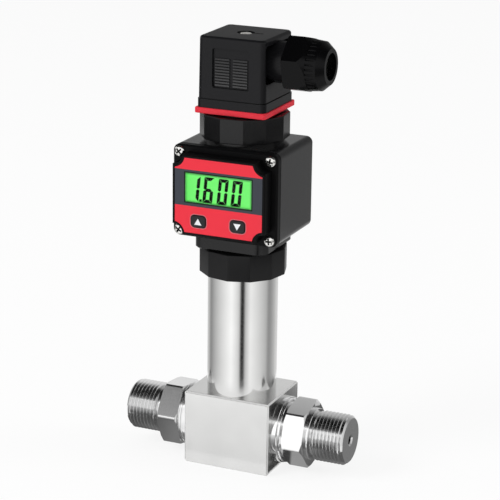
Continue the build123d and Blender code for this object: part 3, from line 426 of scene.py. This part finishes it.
def rounded_outline(corners, radius, arc_points=5, side_points=6):
    """Closed outline through a convex polygon's corners, each rounded by an arc of the given radius that
    touches both its sides. Also gives the outward direction at each point."""
    corners = np.asarray(corners, float)
    before, after = np.roll(corners, 1, 0) - corners, np.roll(corners, -1, 0) - corners
    before /= np.linalg.norm(before, axis=1)[:, None]
    after /= np.linalg.norm(after, axis=1)[:, None]
    half_angle = np.arccos(np.sum(before * after, 1)) / 2
    middle = (before + after) / np.linalg.norm(before + after, axis=1)[:, None]
    centre = corners + middle * (radius / np.sin(half_angle))[:, None]
    start = np.stack([before[:, 1], -before[:, 0]], 1)
    start *= np.sign(np.sum(start * -middle, 1))[:, None]
    end = np.stack([after[:, 1], -after[:, 0]], 1)
    end *= np.sign(np.sum(end * -middle, 1))[:, None]
    share = np.linspace(0, 1, arc_points)[None, :, None]
    swing = (np.pi - 2 * half_angle)[:, None, None]
    ways = np.sin((1 - share) * swing) * start[:, None] + np.sin(share * swing) * end[:, None]
    ways /= np.sin(swing)
    arcs = centre[:, None] + radius * ways
    share = np.linspace(0, 1, side_points + 2)[None, 1:-1, None]
    run = arcs[:, -1:] * (1 - share) + np.roll(arcs, -1, 0)[:, :1] * share
    points = np.concatenate([arcs, run], 1).reshape(-1, 2)
    outward = np.concatenate([ways, np.repeat(ways[:, -1:], side_points, 1)], 1).reshape(-1, 2)
    return points, outward


def polygon_corners(sides, vertex, first):
    """Corners of a regular polygon: a circle of the vertex radius divided evenly from the first angle."""
    turn = np.radians(first) + 2 * np.pi * np.arange(sides) / sides
    return np.stack([vertex * np.cos(turn), vertex * np.sin(turn)], 1)


def quarter_round(start, end, radius, steps=5):
    """Insets and levels of a rounded end: a quarter circle from the side to the end face.
    start and end are the face's level and the side of it that the solid lies on, +1 or -1."""
    turn = np.linspace(0, np.pi / 2, steps)
    return [(radius * (1 - np.cos(t)), start + end * radius * (1 - np.sin(t))) for t in turn]


def moulded_ring(name, outlines, bottom, top, end_round, bore, finish, body, sharp):
    """Outline carried up from the bottom to the top, drawn in by a quarter circle at both ends, and down
    again inside as the circles of its stepped bore, given as (radius, height) from the top down. The CAD
    piece it stands for has its name less the last word."""
    outline, outward = outlines
    rows = [np.column_stack([outline - inset * outward, np.full(len(outline), level)]) for inset, level in
            quarter_round(bottom, 1, end_round)[::-1] + quarter_round(top, -1, end_round)]
    turn = np.arctan2(outline[:, 1], outline[:, 0])
    rows += [round_axis(radius, turn, level) for radius, level in bore]
    rows.append(rows[0])
    mesh_piece(name, np.array(rows), tube_faces(len(rows), len(outline)), finish, body,
               [name.rsplit("_", 1)[0]], sharp)


def nut_outline(vertex, first_corner):
    """A twelve-sided nut's outline and outward directions."""
    return rounded_outline(polygon_corners(nut_sides, vertex, first_corner), nut_corner_round)


black_nylon = plain_finish("black_moulded_nylon", "#121213", 0.35, grain=0.25, relief=0.15,
                           Specular_IOR_Level=0.2)
moulded_ring("coupling_nut_moulded", nut_outline(coupling_vertex, coupling_corner), coupling_bottom,
             coupling_top, nut_end_round,
             [(coupling_lip, coupling_top), (coupling_lip, coupling_lip_bottom),
              (coupling_room, coupling_lip_bottom), (coupling_room, tube_top),
              (coupling_thread, tube_top), (coupling_thread, coupling_bottom)],
             black_nylon, "coupling_nut", 50.0)

# Display housing and its cover: boxes of black ABS, moulded with a fine spark-eroded grain that spreads
# the light softly, held together by four screws through the cover's corners.
black_abs = plain_finish("black_smooth_abs", "#141415", 0.18, grain=0.3, relief=0.08,
                         Specular_IOR_Level=0.31)
give(black_abs, "display_housing")
give(plain_finish("black_matt_abs", "#0C0C0D", 0.42, grain=0.3, relief=0.2, Specular_IOR_Level=0.08),
     "front_cover")

# Faceplate: a polycarbonate film printed on its front, red above and below and slate blue-grey across the
# middle, with a thin pale line round each key's opening. A dark line of painted shadow runs round the
# display's window.
band_low, band_high = 108.9, 123.0
print_red, print_slate, print_line = "#EC2F40", "#3C4048", "#DB6A74"
key_spacing, key_middle = 16.2, 103.2
key_opening_width, key_opening_height = 6.6, 5.1
key_line_width = 0.28
faceplate_front = -23.95
window_half_width, window_half_height, window_middle = 13.7, 5.7, 116.1
# Painted shadow: a dark line round the window's opening, its width, its reach in depth and its colour.
window_shadow_line, window_shadow_line_reach, window_shadow_black = 0.4, 1.0, "#0B1A0E"
film_grain, film_grain_depth = 0.25, 0.02
# The film's colours lie on a stepped scale from 0 to 1: red, then slate, then the black of the painted
# shadow line.
slate_from, slate_mark, shadow_from = 0.25, 0.5, 0.75


def printed_film(name):
    """Red film with a level slate band and a painted shadow line round the window. The band is where the
    height lies between its two edges, and the shadow line is inside a box a little larger than the window."""
    material, tree, output = new_finish(name)
    place = add_node(tree, "TexCoord").outputs["Object"]
    height = add_node(tree, "SeparateXYZ", Vector=place).outputs["Z"]
    above = add_node(tree, "Math", {"operation": "GREATER_THAN"}, (height, band_low * MM)).outputs[0]
    below = add_node(tree, "Math", {"operation": "LESS_THAN"}, (height, band_high * MM)).outputs[0]
    inside = add_node(tree, "Math", {"operation": "MULTIPLY"}, (above, below)).outputs[0]
    # The dark painted shadow line round the window.
    outside = axes_outside(tree, place, (0, faceplate_front, window_middle),
                           (window_half_width + window_shadow_line, window_shadow_line_reach,
                            window_half_height + window_shadow_line))
    picked = add_node(tree, "MapRange", None, (inside, 0.0, 1.0, 0.0, slate_mark)).outputs[0]
    last = add_node(tree, "MapRange", None, (outside, 0.0, 1.0, 1.0, picked)).outputs[0]
    ramp = add_node(tree, "ValToRGB", Fac=last)
    ramp.color_ramp.interpolation = "CONSTANT"
    ramp.color_ramp.elements[0].color = linear(print_red)
    ramp.color_ramp.elements[1].color = linear(window_shadow_black)
    ramp.color_ramp.elements[1].position = shadow_from
    ramp.color_ramp.elements.new(slate_from).color = linear(print_slate)
    grain = add_node(tree, "TexNoise", Vector=place, Scale=1 / (film_grain * MM), Detail=2.0).outputs[0]
    bump = add_node(tree, "Bump", Strength=0.1, Distance=film_grain_depth * MM, Height=grain).outputs[0]
    shader = add_node(tree, "BsdfPrincipled", Base_Color=ramp.outputs["Color"], Roughness=0.4,
                      Normal=bump, Specular_IOR_Level=0.15)
    tree.links.new(shader.outputs["BSDF"], output.inputs["Surface"])
    return material


give(printed_film("two_colour_printed_film"), "faceplate")

print_thickness = 0.02
key_corner_share = 0.32


def oblong(width, height, radius, middle_x, middle_z):
    """Outline and outward directions of a rounded oblong seen from the front, about its middle."""
    x, z = width / 2, height / 2
    outline, outward = rounded_outline([(x, z), (-x, z), (-x, -z), (x, -z)], radius, 9, 8)
    return outline + [middle_x, middle_z], outward


def seen_from_front(flat, level):
    """Points of a flat outline (x, z) set upright at the level y."""
    return np.column_stack([flat[:, 0], np.full(len(flat), level), flat[:, 1]])


line_ink = plain_finish("pale_printed_line", print_line, 0.4)
for name, side in (("up", -1), ("down", 1)):
    outline, outward = oblong(key_opening_width, key_opening_height,
                              key_corner_share * key_opening_height, side * key_spacing / 2, key_middle)
    rows = [seen_from_front(outline + inset * outward, level)
            for inset, level in ((0, faceplate_front), (0, faceplate_front - print_thickness),
                                 (key_line_width, faceplate_front - print_thickness),
                                 (key_line_width, faceplate_front), (0, faceplate_front))]
    mesh_piece("key_line_" + name, np.array(rows), tube_faces(len(rows), len(outline)), line_ink,
               "display_head")

# Display window and module: a clear acrylic pane over a liquid-crystal cell that is lit from behind by
# green light-emitting diodes. A soft dark rim of painted shade runs along the pane's edges, set a little
# left and low.
# The dark green rim is painted shade along the window's edges, and its box is shifted left and down.
lit_green, shade_rim_green, shade_rim_width = "#6AEF68", "#125F24", 1.0
unlit_glass = "#0B2A0E"
shade_shift_left, shade_shift_down = 0.7, 0.5
shade_rim_start, shade_rim_corner_blend = -0.2, 0.5
module_front = -22.1


def lit_display(name):
    """Green glow with a rim of painted shade along the window's edges: the shade follows the least
    distance to an edge of the window's box, shifted left and down, over the rim's width, eased at both
    ends."""
    material, tree, output = new_finish(name)
    place = add_node(tree, "TexCoord").outputs["Object"]
    split = add_node(tree, "SeparateXYZ", Vector=place)
    distances = []
    for axis, middle, half in (("X", -shade_shift_left, window_half_width),
                               ("Z", window_middle - shade_shift_down, window_half_height)):
        off = add_node(tree, "Math", {"operation": "SUBTRACT"},
                       (split.outputs[axis], middle * MM)).outputs[0]
        size = add_node(tree, "Math", {"operation": "ABSOLUTE"}, (off,)).outputs[0]
        distances.append(add_node(tree, "Math", {"operation": "SUBTRACT"}, (half * MM, size)).outputs[0])
    least = add_node(tree, "Math", {"operation": "SMOOTH_MIN"},
                     (*distances, shade_rim_corner_blend * MM)).outputs[0]
    share = add_node(tree, "MapRange", {"interpolation_type": "SMOOTHSTEP"},
                     (least, shade_rim_start * MM, shade_rim_width * MM, 0.0, 1.0)).outputs[0]
    ramp = add_node(tree, "ValToRGB", Fac=share)
    ramp.color_ramp.elements[0].color = linear(shade_rim_green)
    ramp.color_ramp.elements[1].color = linear(lit_green)
    shader = add_node(tree, "BsdfPrincipled", Base_Color=linear(unlit_glass), Roughness=0.35,
                      Emission_Color=ramp.outputs["Color"], Emission_Strength=1.0)
    tree.links.new(shader.outputs["BSDF"], output.inputs["Surface"])
    return material


give(lit_display("green_backlit_liquid_crystal"), "lcd_module")
clear_acrylic = plain_finish("clear_acrylic", "#FFFFFF", 0.03, relief=0.0, mottle=0.0,
                             Transmission_Weight=1.0, IOR=1.1)
give(clear_acrylic, "lcd_window")

# The figures are seven-segment bars that lean a little to the right, with a point after the first.
# They are the dark parts of the liquid crystal, a few hundredths of a millimetre proud of the glass here.
digit_width, digit_height, digit_middle, digit_lean = 4.05, 10.05, 115.42, 0.1
digit_places = (-10.5, -4.8, 1.12, 6.9)
bar_width, bar_gap, bar_thickness = 1.3, 0.08, 0.05
point_place, point_size = (-8.05, 111.05), 1.0
lit_bars = ("bc", "acdefg", "abcdef", "abcdef")


def digit_bars(middle, lit):
    """Bars of one figure, by the letters a to g. The level ones at the ends are trapezia and the one
    across the middle has two points. The upright ones are mitred at the ends and pointed at the middle.
    The whole leans: x grows with the height over the middle."""
    x, z, wide, gap = digit_width / 2, digit_height / 2, bar_width, bar_gap
    level = [(gap - x, z), (x - gap, z), (x - wide - gap, z - wide), (wide + gap - x, z - wide)]
    upright = [(x, z - gap), (x, gap + wide / 3), (x - wide / 2, gap), (x - wide, gap + wide / 3),
               (x - wide, z - wide - gap)]
    across = [(wide / 2 + gap - x, 0), (wide + gap - x, wide / 2), (x - wide - gap, wide / 2),
              (x - wide / 2 - gap, 0), (x - wide - gap, -wide / 2), (wide + gap - x, -wide / 2)]
    shapes = {"a": (level, 1, 1), "b": (upright, 1, 1), "c": (upright, 1, -1), "d": (level, 1, -1),
              "e": (upright, -1, -1), "f": (upright, -1, 1), "g": (across, 1, 1)}
    bars = []
    for letter in lit:
        shape, mirror_x, mirror_z = shapes[letter]
        flat = np.array(shape) * [mirror_x, mirror_z]
        flat[:, 0] += middle + digit_lean * flat[:, 1]
        flat[:, 1] += digit_middle
        bars.append(flat)
    return bars


def flat_prism(flat, front, behind):
    """Points and faces of a flat outline drawn out from its front level to the one behind."""
    count = len(flat)
    points = np.concatenate([seen_from_front(flat, front), seen_from_front(flat, behind)])
    sides = [[i, (i + 1) % count, (i + 1) % count + count, i + count] for i in range(count)]
    return points, [list(range(count)), list(range(count, 2 * count))] + sides


figures = []
for middle, lit in zip(digit_places, lit_bars):
    for flat in digit_bars(middle, lit):
        figures.append(flat_prism(flat, module_front - bar_thickness, module_front))
dot = np.array([(-1, -1), (1, -1), (1, 1), (-1, 1)]) * point_size / 2 + point_place
figures.append(flat_prism(dot, module_front - bar_thickness, module_front))
points, faces = joined(figures)
dark_crystal = plain_finish("dark_liquid_crystal", "#050905", 0.5, Specular_IOR_Level=0.1)
mesh_piece("lcd_figures", points, faces, dark_crystal, "display_head")

# Keys: two black ABS caps, moulded with a soft edge in front and a flange behind that keeps them in the
# faceplate's openings, each with a white arrowhead printed on it, one up and one down.
key_cap_width, key_cap_height, key_cap_round = 6.3, 4.8, 0.4
key_cap_front, key_flange_front, key_flange_back = -24.46, -22.1, -21.6
key_flange_margin = 0.6
arrow_half_width, arrow_half_height, arrow_proud, arrow_sunk = 1.5, 1.25, 0.04, 0.02
key_black = plain_finish("black_abs_key", "#17191C", 0.4, grain=0.2, relief=0.15, Specular_IOR_Level=0.3)
arrow_ink = plain_finish("white_printing_ink", "#EDEFF2", 0.5)
for name, side in (("up", -1), ("down", 1)):
    middle = side * key_spacing / 2
    outline, outward = oblong(key_cap_width, key_cap_height, key_corner_share * key_cap_height,
                              middle, key_middle)
    rim = key_flange_margin + (key_opening_width - key_cap_width) / 2
    rows = quarter_round(key_cap_front, 1, key_cap_round)[::-1]
    rows += [(0, key_flange_front), (-rim, key_flange_front), (-rim, key_flange_back)]
    sides = np.array([seen_from_front(outline - inset * outward, level) for inset, level in rows])
    count = len(outline)
    faces = tube_faces(len(sides), count) + [list(range(count)),
                                             list(range((len(sides) - 1) * count, len(sides) * count))]
    mesh_piece("button_" + name + "_cap", sides, faces, key_black, "button_" + name,
               ["button_" + name])
    arrow = np.array([(-1, side), (1, side), (0, -side)]) * [arrow_half_width, arrow_half_height]
    points, faces = flat_prism(arrow + [middle, key_middle], key_cap_front - arrow_proud,
                               key_cap_front + arrow_sunk)
    mesh_piece("button_" + name + "_arrow", points, faces, arrow_ink, "button_" + name)

# Cover screws: M2 pan-head screws, cold-formed with a cross recess and nickel-plated bright. The tool
# that punches the cross leaves its walls sloping and its floor flat.
screw_half_width, screw_half_height, screw_middle = 18.75, 15.4, 112.9
screw_seat = -18.0
screw_head_radius, screw_head_height, screw_head_wall = 2.05, 1.4, 0.5
dome_rings, dome_fullness, dome_power = 34, 0.97, 2.4
screw_shank_radius, screw_shank_length, screw_tip = 1.0, 7.6, 1.0
cross_half_length, cross_half_width, cross_depth, cross_slope = 1.3, 0.33, 0.9, 0.12
cross_first_turn, cross_turn_step, cross_margin = 57, 37, 0.02


def outside_cross(x, y):
    """How far a place lies outside the cross, less than nothing inside it: the lesser of its distances
    outside the two bars. Outside a bar that is the greater of those past its end and past its side."""
    return np.minimum(np.maximum(abs(x) - cross_half_length, abs(y) - cross_half_width),
                      np.maximum(abs(y) - cross_half_length, abs(x) - cross_half_width))


def pan_head_screw(turned_by, columns=96):
    """Height over the seat as a function of radius and turn: a dome over a short wall, which falls off as
    the root of one less a power of the radius, less the cross, whose depth grows with the distance inside
    its outline up to a flat floor."""
    turn = 2 * np.pi * np.arange(columns) / columns
    share = np.linspace(0, 1, dome_rings)[:, None]
    radius = screw_head_radius * share + 0 * turn
    rise = screw_head_height - screw_head_wall
    dome = screw_head_wall + rise * np.sqrt(1 - dome_fullness * share ** dome_power)
    inside = -outside_cross(radius * np.cos(turn - turned_by), radius * np.sin(turn - turned_by))
    height = dome - cross_depth * np.clip(inside / cross_slope, 0, 1)
    below = [(screw_head_radius, 0), (screw_shank_radius, 0),
             (screw_shank_radius, screw_tip - screw_shank_length),
             (screw_shank_radius / 2, -screw_shank_length), (0, -screw_shank_length)]
    rows = np.concatenate([round_axis(radius, turn, height), [round_axis(r, turn, z) for r, z in below]])
    return rows, tube_faces(len(rows), columns)


def in_recess(at, x, z, turned_by):
    """True where a place lies over the seat and in the cross of the screw at (x, z): the place is taken
    from the screw's middle and turned back before it is measured."""
    over, high = at[:, 0] - x, at[:, 2] - z
    cosine, sine = np.cos(turned_by), np.sin(turned_by)
    outside = outside_cross(over * cosine + high * sine, high * cosine - over * sine)
    return (outside < -cross_margin) & (at[:, 1] < screw_seat)


nickel_plate = plain_finish("bright_nickel_plate", "#E9E8E5", 0.16, metallic=1.0, grain=0.2, relief=0.1)
# Painted shade: the cross recess is coloured dark grey, as the shade in the deep cross.
painted_recess_shade = plain_finish("dull_painted_recess_shade", "#2A2A2A", 0.5, metallic=1.0)
screw_places = [(side * screw_half_width, screw_middle + end * screw_half_height)
                for end in (-1, 1) for side in (-1, 1)]
for number, (x, z) in enumerate(screw_places):
    turned_by = np.radians(cross_first_turn + cross_turn_step * number)
    name = "cover_screw_" + str(number + 1)
    rows, faces = pan_head_screw(turned_by)
    upright = np.stack([x + rows[..., 0], screw_seat - rows[..., 2], z + rows[..., 1]], -1)
    screw = mesh_piece(name + "_bright", upright, faces, nickel_plate, "display_head",
                       [name], 50.0)
    # The faces in the cross get the painted shade.
    paint(screw, painted_recess_shade, lambda at: in_recess(at, x, z, turned_by))

# Contact nut and base: a second twelve-sided black nylon nut clamps a nylon disc with four tinned blades
# and a threaded bush on the housing's upper stub.
contact_vertex, contact_corner = 17.3, 21.6
contact_bottom, contact_top, contact_lip_bottom = 132.6, 142.2, 140.7
contact_thread, contact_lip = 15.3, 12.9
glossy_nylon = plain_finish("black_glossy_nylon", "#121213", 0.25, grain=0.25, relief=0.1,
                            Specular_IOR_Level=0.3)
moulded_ring("contact_nut_moulded", nut_outline(contact_vertex, contact_corner), contact_bottom,
             contact_top, nut_end_round,
             [(contact_lip, contact_top), (contact_lip, contact_lip_bottom),
              (contact_thread, contact_lip_bottom), (contact_thread, contact_bottom)],
             glossy_nylon, "contact_nut", 50.0)
give(plain_finish("glass_filled_nylon", "#2A2A2B", 0.5, grain=0.2, relief=0.3), "contact_base",
     "terminal_block")
give(plain_finish("tinned_brass", "#D9CFAE", 0.28, metallic=1.0), "screw_insert", "blade_line",
     "blade_load", "blade_spare", "blade_earth")

# Profile gasket: a flat square of red silicone rubber, cut and moulded with soft edges, squeezed between
# the connector and its base. Silicone is matt and lets a little light into its surface.
gasket_half, gasket_corner, gasket_round, gasket_hole = 14.6, 1.1, 0.35, 10.6
gasket_bottom, gasket_top = 142.8, 145.0
red_silicone = plain_finish("red_silicone_rubber", "#E0303F", 0.5, grain=0.4, relief=0.15,
                            Subsurface_Weight=0.1, Subsurface_Scale=0.002, Specular_IOR_Level=0.15)
corners = np.array([(1, 1), (-1, 1), (-1, -1), (1, -1)]) * gasket_half
moulded_ring("profile_gasket_silicone", rounded_outline(corners, gasket_corner, 9, 12), gasket_bottom,
             gasket_top, gasket_round, [(gasket_hole, gasket_top), (gasket_hole, gasket_bottom)],
             red_silicone, "connector", 35.0)

# Connector: a square plug shell of black glass-filled nylon. Its face has a sunken panel with two columns
# of level grip ribs, and its top a deep recess with the plated fixing screw in it.
rib_face, rib_middle, rib_half_width, rib_half_height = -13.3, 160.45, 7.5, 7.5
rib_reach, rib_lightening, top_lightening_share = 0.1, 0.05, 0.3


def ribbed_nylon(name):
    """The connector's nylon, with its ribs' outer faces made lighter grey. They are the places inside a
    thin box, and they are lighter towards the box's lower part."""
    material = plain_finish(name, "#18181A", 0.3, grain=0.25, relief=0.12, Specular_IOR_Level=0.15)
    tree = material.node_tree
    place = tree.nodes["Texture Coordinate"].outputs["Object"]
    shader = tree.nodes["Principled BSDF"]
    outside = axes_outside(tree, place, (0, rib_face, rib_middle),
                           (rib_half_width, rib_reach, rib_half_height))
    height = add_node(tree, "SeparateXYZ", Vector=place).outputs["Z"]
    low, high = (rib_middle - rib_half_height) * MM, (rib_middle + rib_half_height) * MM
    shade = add_node(tree, "MapRange", None,
                     (height, low, high, rib_lightening, top_lightening_share * rib_lightening)).outputs[0]
    inside = add_node(tree, "MapRange", None, (outside, 0.0, 1.0, shade, 0.0)).outputs[0]
    grey = add_node(tree, "CombineColor", Red=inside, Green=inside, Blue=inside).outputs["Color"]
    own = shader.inputs["Base Color"].links[0].from_socket
    total = add_node(tree, "VectorMath", {"operation": "ADD"}, (own, grey)).outputs[0]
    tree.links.new(total, shader.inputs["Base Color"])
    return material


give(ribbed_nylon("black_connector_nylon"), "connector_housing")
give(plain_finish("satin_zinc_plate", "#EDECE8", 0.5, metallic=0.6), "fixing_screw")
give(nickel_plate, "terminal_screw_1", "terminal_screw_2", "terminal_screw_3", "terminal_screw_4")

# Cable gland: a clamping nut of the same nylon, moulded with a hexagon, a fluted round grip and a cone
# nose, and left a little darker and glossier than the shell.
give(plain_finish("black_gland_nylon", "#070708", 0.25, grain=0.25, relief=0.08, Specular_IOR_Level=0.12),
     "gland_nut")

# Floor and light: a white floor that the lens, gloss and clear parts see as white, with a faint shadow,
# under two large soft lamps and a plain white surround.
floor_half, floor_drop, floor_white = 6.0, 0.2, "#FFFFFF"
own_share = 0.15
surround_light = 0.55
lamp_aim = 90.0
lamps = (("key_lamp", (-0.9, -1.1, 1.1), 0.9, 14.0), ("side_lamp", (1.5, 0.5, 0.9), 0.7, 7.0))


def sees_white(tree):
    """1 for a ray from the lens or from gloss or clear parts, else 0: the greatest of the three."""
    rays = add_node(tree, "LightPath").outputs
    most = add_node(tree, "Math", {"operation": "MAXIMUM"},
                    (rays["Is Camera Ray"], rays["Is Glossy Ray"]))
    return add_node(tree, "Math", {"operation": "MAXIMUM"},
                    (most.outputs[0], rays["Is Transmission Ray"])).outputs[0]


floor_finish, tree, output = new_finish("white_studio_floor")
paper = add_node(tree, "BsdfDiffuse", Color=linear(floor_white)).outputs["BSDF"]
glow = add_node(tree, "Emission", Color=(1, 1, 1, 1), Strength=1.0).outputs["Emission"]
seen = add_node(tree, "Math", {"operation": "MULTIPLY"}, (sees_white(tree), 1 - own_share)).outputs[0]
blend = add_node(tree, "MixShader", None, (seen, paper, glow)).outputs[0]
tree.links.new(blend, output.inputs["Surface"])
floor_mesh = bpy.data.meshes.new("floor")
floor_mesh.from_pydata([(x * floor_half, y * floor_half, -floor_drop * MM) for x, y in
                        ((-1, -1), (1, -1), (1, 1), (-1, 1))], [], [(0, 1, 2, 3)])
floor_mesh.materials.append(floor_finish)
floor = bpy.data.objects.new("floor", floor_mesh)
scene.collection.objects.link(floor)

world = bpy.data.worlds.new("white_surround")
scene.world = world
world.use_nodes = True
tree = world.node_tree
tree.nodes.clear()
level = add_node(tree, "MapRange", None, (sees_white(tree), 0.0, 1.0, surround_light, 1.0)).outputs[0]
sky = add_node(tree, "Background", Color=(1, 1, 1, 1), Strength=level).outputs["Background"]
output = tree.nodes.new("ShaderNodeOutputWorld")
tree.links.new(sky, output.inputs["Surface"])

for name, place, size, power in lamps:
    light = bpy.data.lights.new(name, "AREA")
    light.shape, light.size, light.energy = "DISK", size, power
    lamp = bpy.data.objects.new(name, light)
    lamp.location = place
    lamp.rotation_mode = "QUATERNION"
    lamp.rotation_quaternion = (Vector(place) - Vector((0, 0, lamp_aim * MM))).to_track_quat("Z", "Y")
    lamp.visible_glossy = False
    scene.collection.objects.link(lamp)

# Cards: sheets of card round the object that only its gloss sees. A near and a far ring give the tube and
# the head their greys. Back sheets and a dark ceiling that comes down white in front serve the block and
# the housing. Most small sheets on the floor are dark: painted shade, the shadow under the ports and
# behind the block as the gloss sees it. More sheets stand beside the ports.
ring_radius_of_cards, ring_height_of_cards, ring_columns, card_lift = 100.0, 70.0, 180, 0.3
ring_tones = ((-160, 0.75), (-128, 0.75), (-108, 0.55), (-98, 0.32), (-90, 0.35), (-10, 1.25),
              (8, 0.92), (15, 0.7), (18, 0.15), (19.5, 0.03), (21, 0.01), (25, 0.01), (28, 0.09),
              (30, 0.35), (33, 0.63), (48, 1.1), (102, 0.59), (113, 0.34), (123, 0.37), (160, 0.75))
far_ring_share, far_ring_low, far_ring_high = 2.5, 20.0, 150.0
far_ring_tones = ((-150, 0.1), (-100, 0.05), (-55, 0.08), (-45, 1.2), (15, 1.2), (25, 0.4), (60, 0.35),
                  (80, 0.15), (150, 0.15))


def level_rows(left, right, rows):
    """A sheet's rows, which all run from the left x to the right x: each a depth, a height and a tone."""
    return [((left, y, z), (right, y, z), tone) for y, z, tone in rows]


def floor_rows(rows):
    """Rows of a sheet on the floor: each the x and y of one end, those of the other end and a tone."""
    return [((x, y, card_lift), (end_x, end_y, card_lift), tone) for x, y, end_x, end_y, tone in rows]


strips = {
    "back": level_rows(-300, 10, [(150, 0, 0.72), (150, 110, 0.72), (150, 140, 0.55), (150, 175, 0.52),
                                  (150, 184, 0.48), (150, 196, 0.22), (150, 240, 0.14), (150, 300, 0.05),
                                  (150, 420, 0.02)]),
    "back_right": level_rows(10, 320, [(150, 0, 0.45), (150, 110, 0.45), (150, 170, 0.3),
                                       (150, 420, 0.03)]),
    "ceiling": level_rows(-900, 700, [(385, 550, 0.02), (-170, 550, 0.015), (-330, 550, 0.04),
                                      (-430, 550, 0.14), (-500, 550, 0.27), (-555, 550, 0.36),
                                      (-590, 550, 1.2), (-760, 165, 1.2)]),
    # Dark floor sheets: painted shade under and beside the ports and behind the block, seen only in the
    # gloss.
    "floor_shade_left": floor_rows([(-65, 30, -65, -24, 0.07), (-40, 30, -40, -24, 0.1),
                              (-28, 30, -28, -22, 0.19), (-19, 30, -19, -15, 0.19)]),
    "floor_front": level_rows(-90, 18, [(-25, card_lift, 0.84), (-50, card_lift, 0.93),
                                        (-85, card_lift, 1.0)]),
    "floor_shade_right": floor_rows([(19, -13, 19, -24, 0.32), (29, -13, 29, -24, 0.3),
                               (36, -13, 36, -24, 0.13), (65, -13, 65, -24, 0.13)]),
    "floor_shade_right_near": floor_rows([(19, -1, 19, -13, 0.04), (22.2, -1, 22.2, -13, 0.05),
                                    (23.2, -1, 23.2, -13, 0.3), (30, -1, 30, -13, 0.3),
                                    (36, -1, 36, -13, 0.13), (65, -1, 65, -13, 0.13)]),
    "floor_shade_back_right": floor_rows([(19, 40, 40, 100, 0.45), (19, -1, 56, 80, 0.04),
                                    (46, -1, 72, 80, 0.19), (110, -1, 110, 80, 0.16)]),
    "screen_ring": level_rows(17.3, 20.3, [(-16, 0.5, 0.12), (-16, 10.5, 0.16), (-16, 14, 0.35),
                                           (-16, 17, 0.8)]),
    "screen_left": level_rows(-51, -26, [(-20, 0.5, 0.09), (-20, 10, 0.12), (-20, 13.5, 0.35),
                                         (-20, 17, 0.5)]),
    "screen_right": level_rows(29, 44, [(-20, 0.5, 0.09), (-20, 10, 0.12), (-20, 13.5, 0.35),
                                        (-20, 17, 0.5)]),
}


def card(name, points, faces, tones, material):
    """A sheet through points in millimetres with a tone at each, which blends from point to point."""
    mesh = bpy.data.meshes.new(name)
    mesh.from_pydata((np.asarray(points, float) * MM).tolist(), [], faces)
    mesh.attributes.new("tone", "FLOAT", "POINT").data.foreach_set("value", np.asarray(tones, np.float32))
    mesh.materials.append(material)
    sheet = bpy.data.objects.new(name, mesh)
    scene.collection.objects.link(sheet)
    sheet.visible_camera = sheet.visible_diffuse = sheet.visible_shadow = False
    sheet.visible_transmission = sheet.visible_volume_scatter = False


card_finish, tree, output = new_finish("toned_card")
tone = add_node(tree, "Attribute", {"attribute_name": "tone"}).outputs["Fac"]
glow = add_node(tree, "Emission", Color=(1, 1, 1, 1), Strength=tone).outputs["Emission"]
tree.links.new(glow, output.inputs["Surface"])
for name, rows in strips.items():
    points = [point for row in rows for point in row[:2]]
    faces = [(2 * i, 2 * i + 1, 2 * i + 3, 2 * i + 2) for i in range(len(rows) - 1)]
    card(name + "_card", points, faces, np.repeat([row[2] for row in rows], 2), card_finish)
azimuth = 2 * np.pi * np.arange(ring_columns) / ring_columns
circle = np.stack([np.sin(azimuth), -np.cos(azimuth), 0 * azimuth], 1)
for name, radius, low, high, tones in (
        ("ring", ring_radius_of_cards, 0, ring_height_of_cards, ring_tones),
        ("far_ring", far_ring_share * ring_radius_of_cards, far_ring_low, far_ring_high, far_ring_tones)):
    places, levels = np.array(tones).T
    shade = np.interp(np.degrees(azimuth), places, levels, period=360)
    points = np.concatenate([radius * circle + [0, 0, low], radius * circle + [0, 0, high]])
    card(name + "_card", points, tube_faces(2, ring_columns), np.tile(shade, 2), card_finish)

scene.view_settings.view_transform = "Standard"
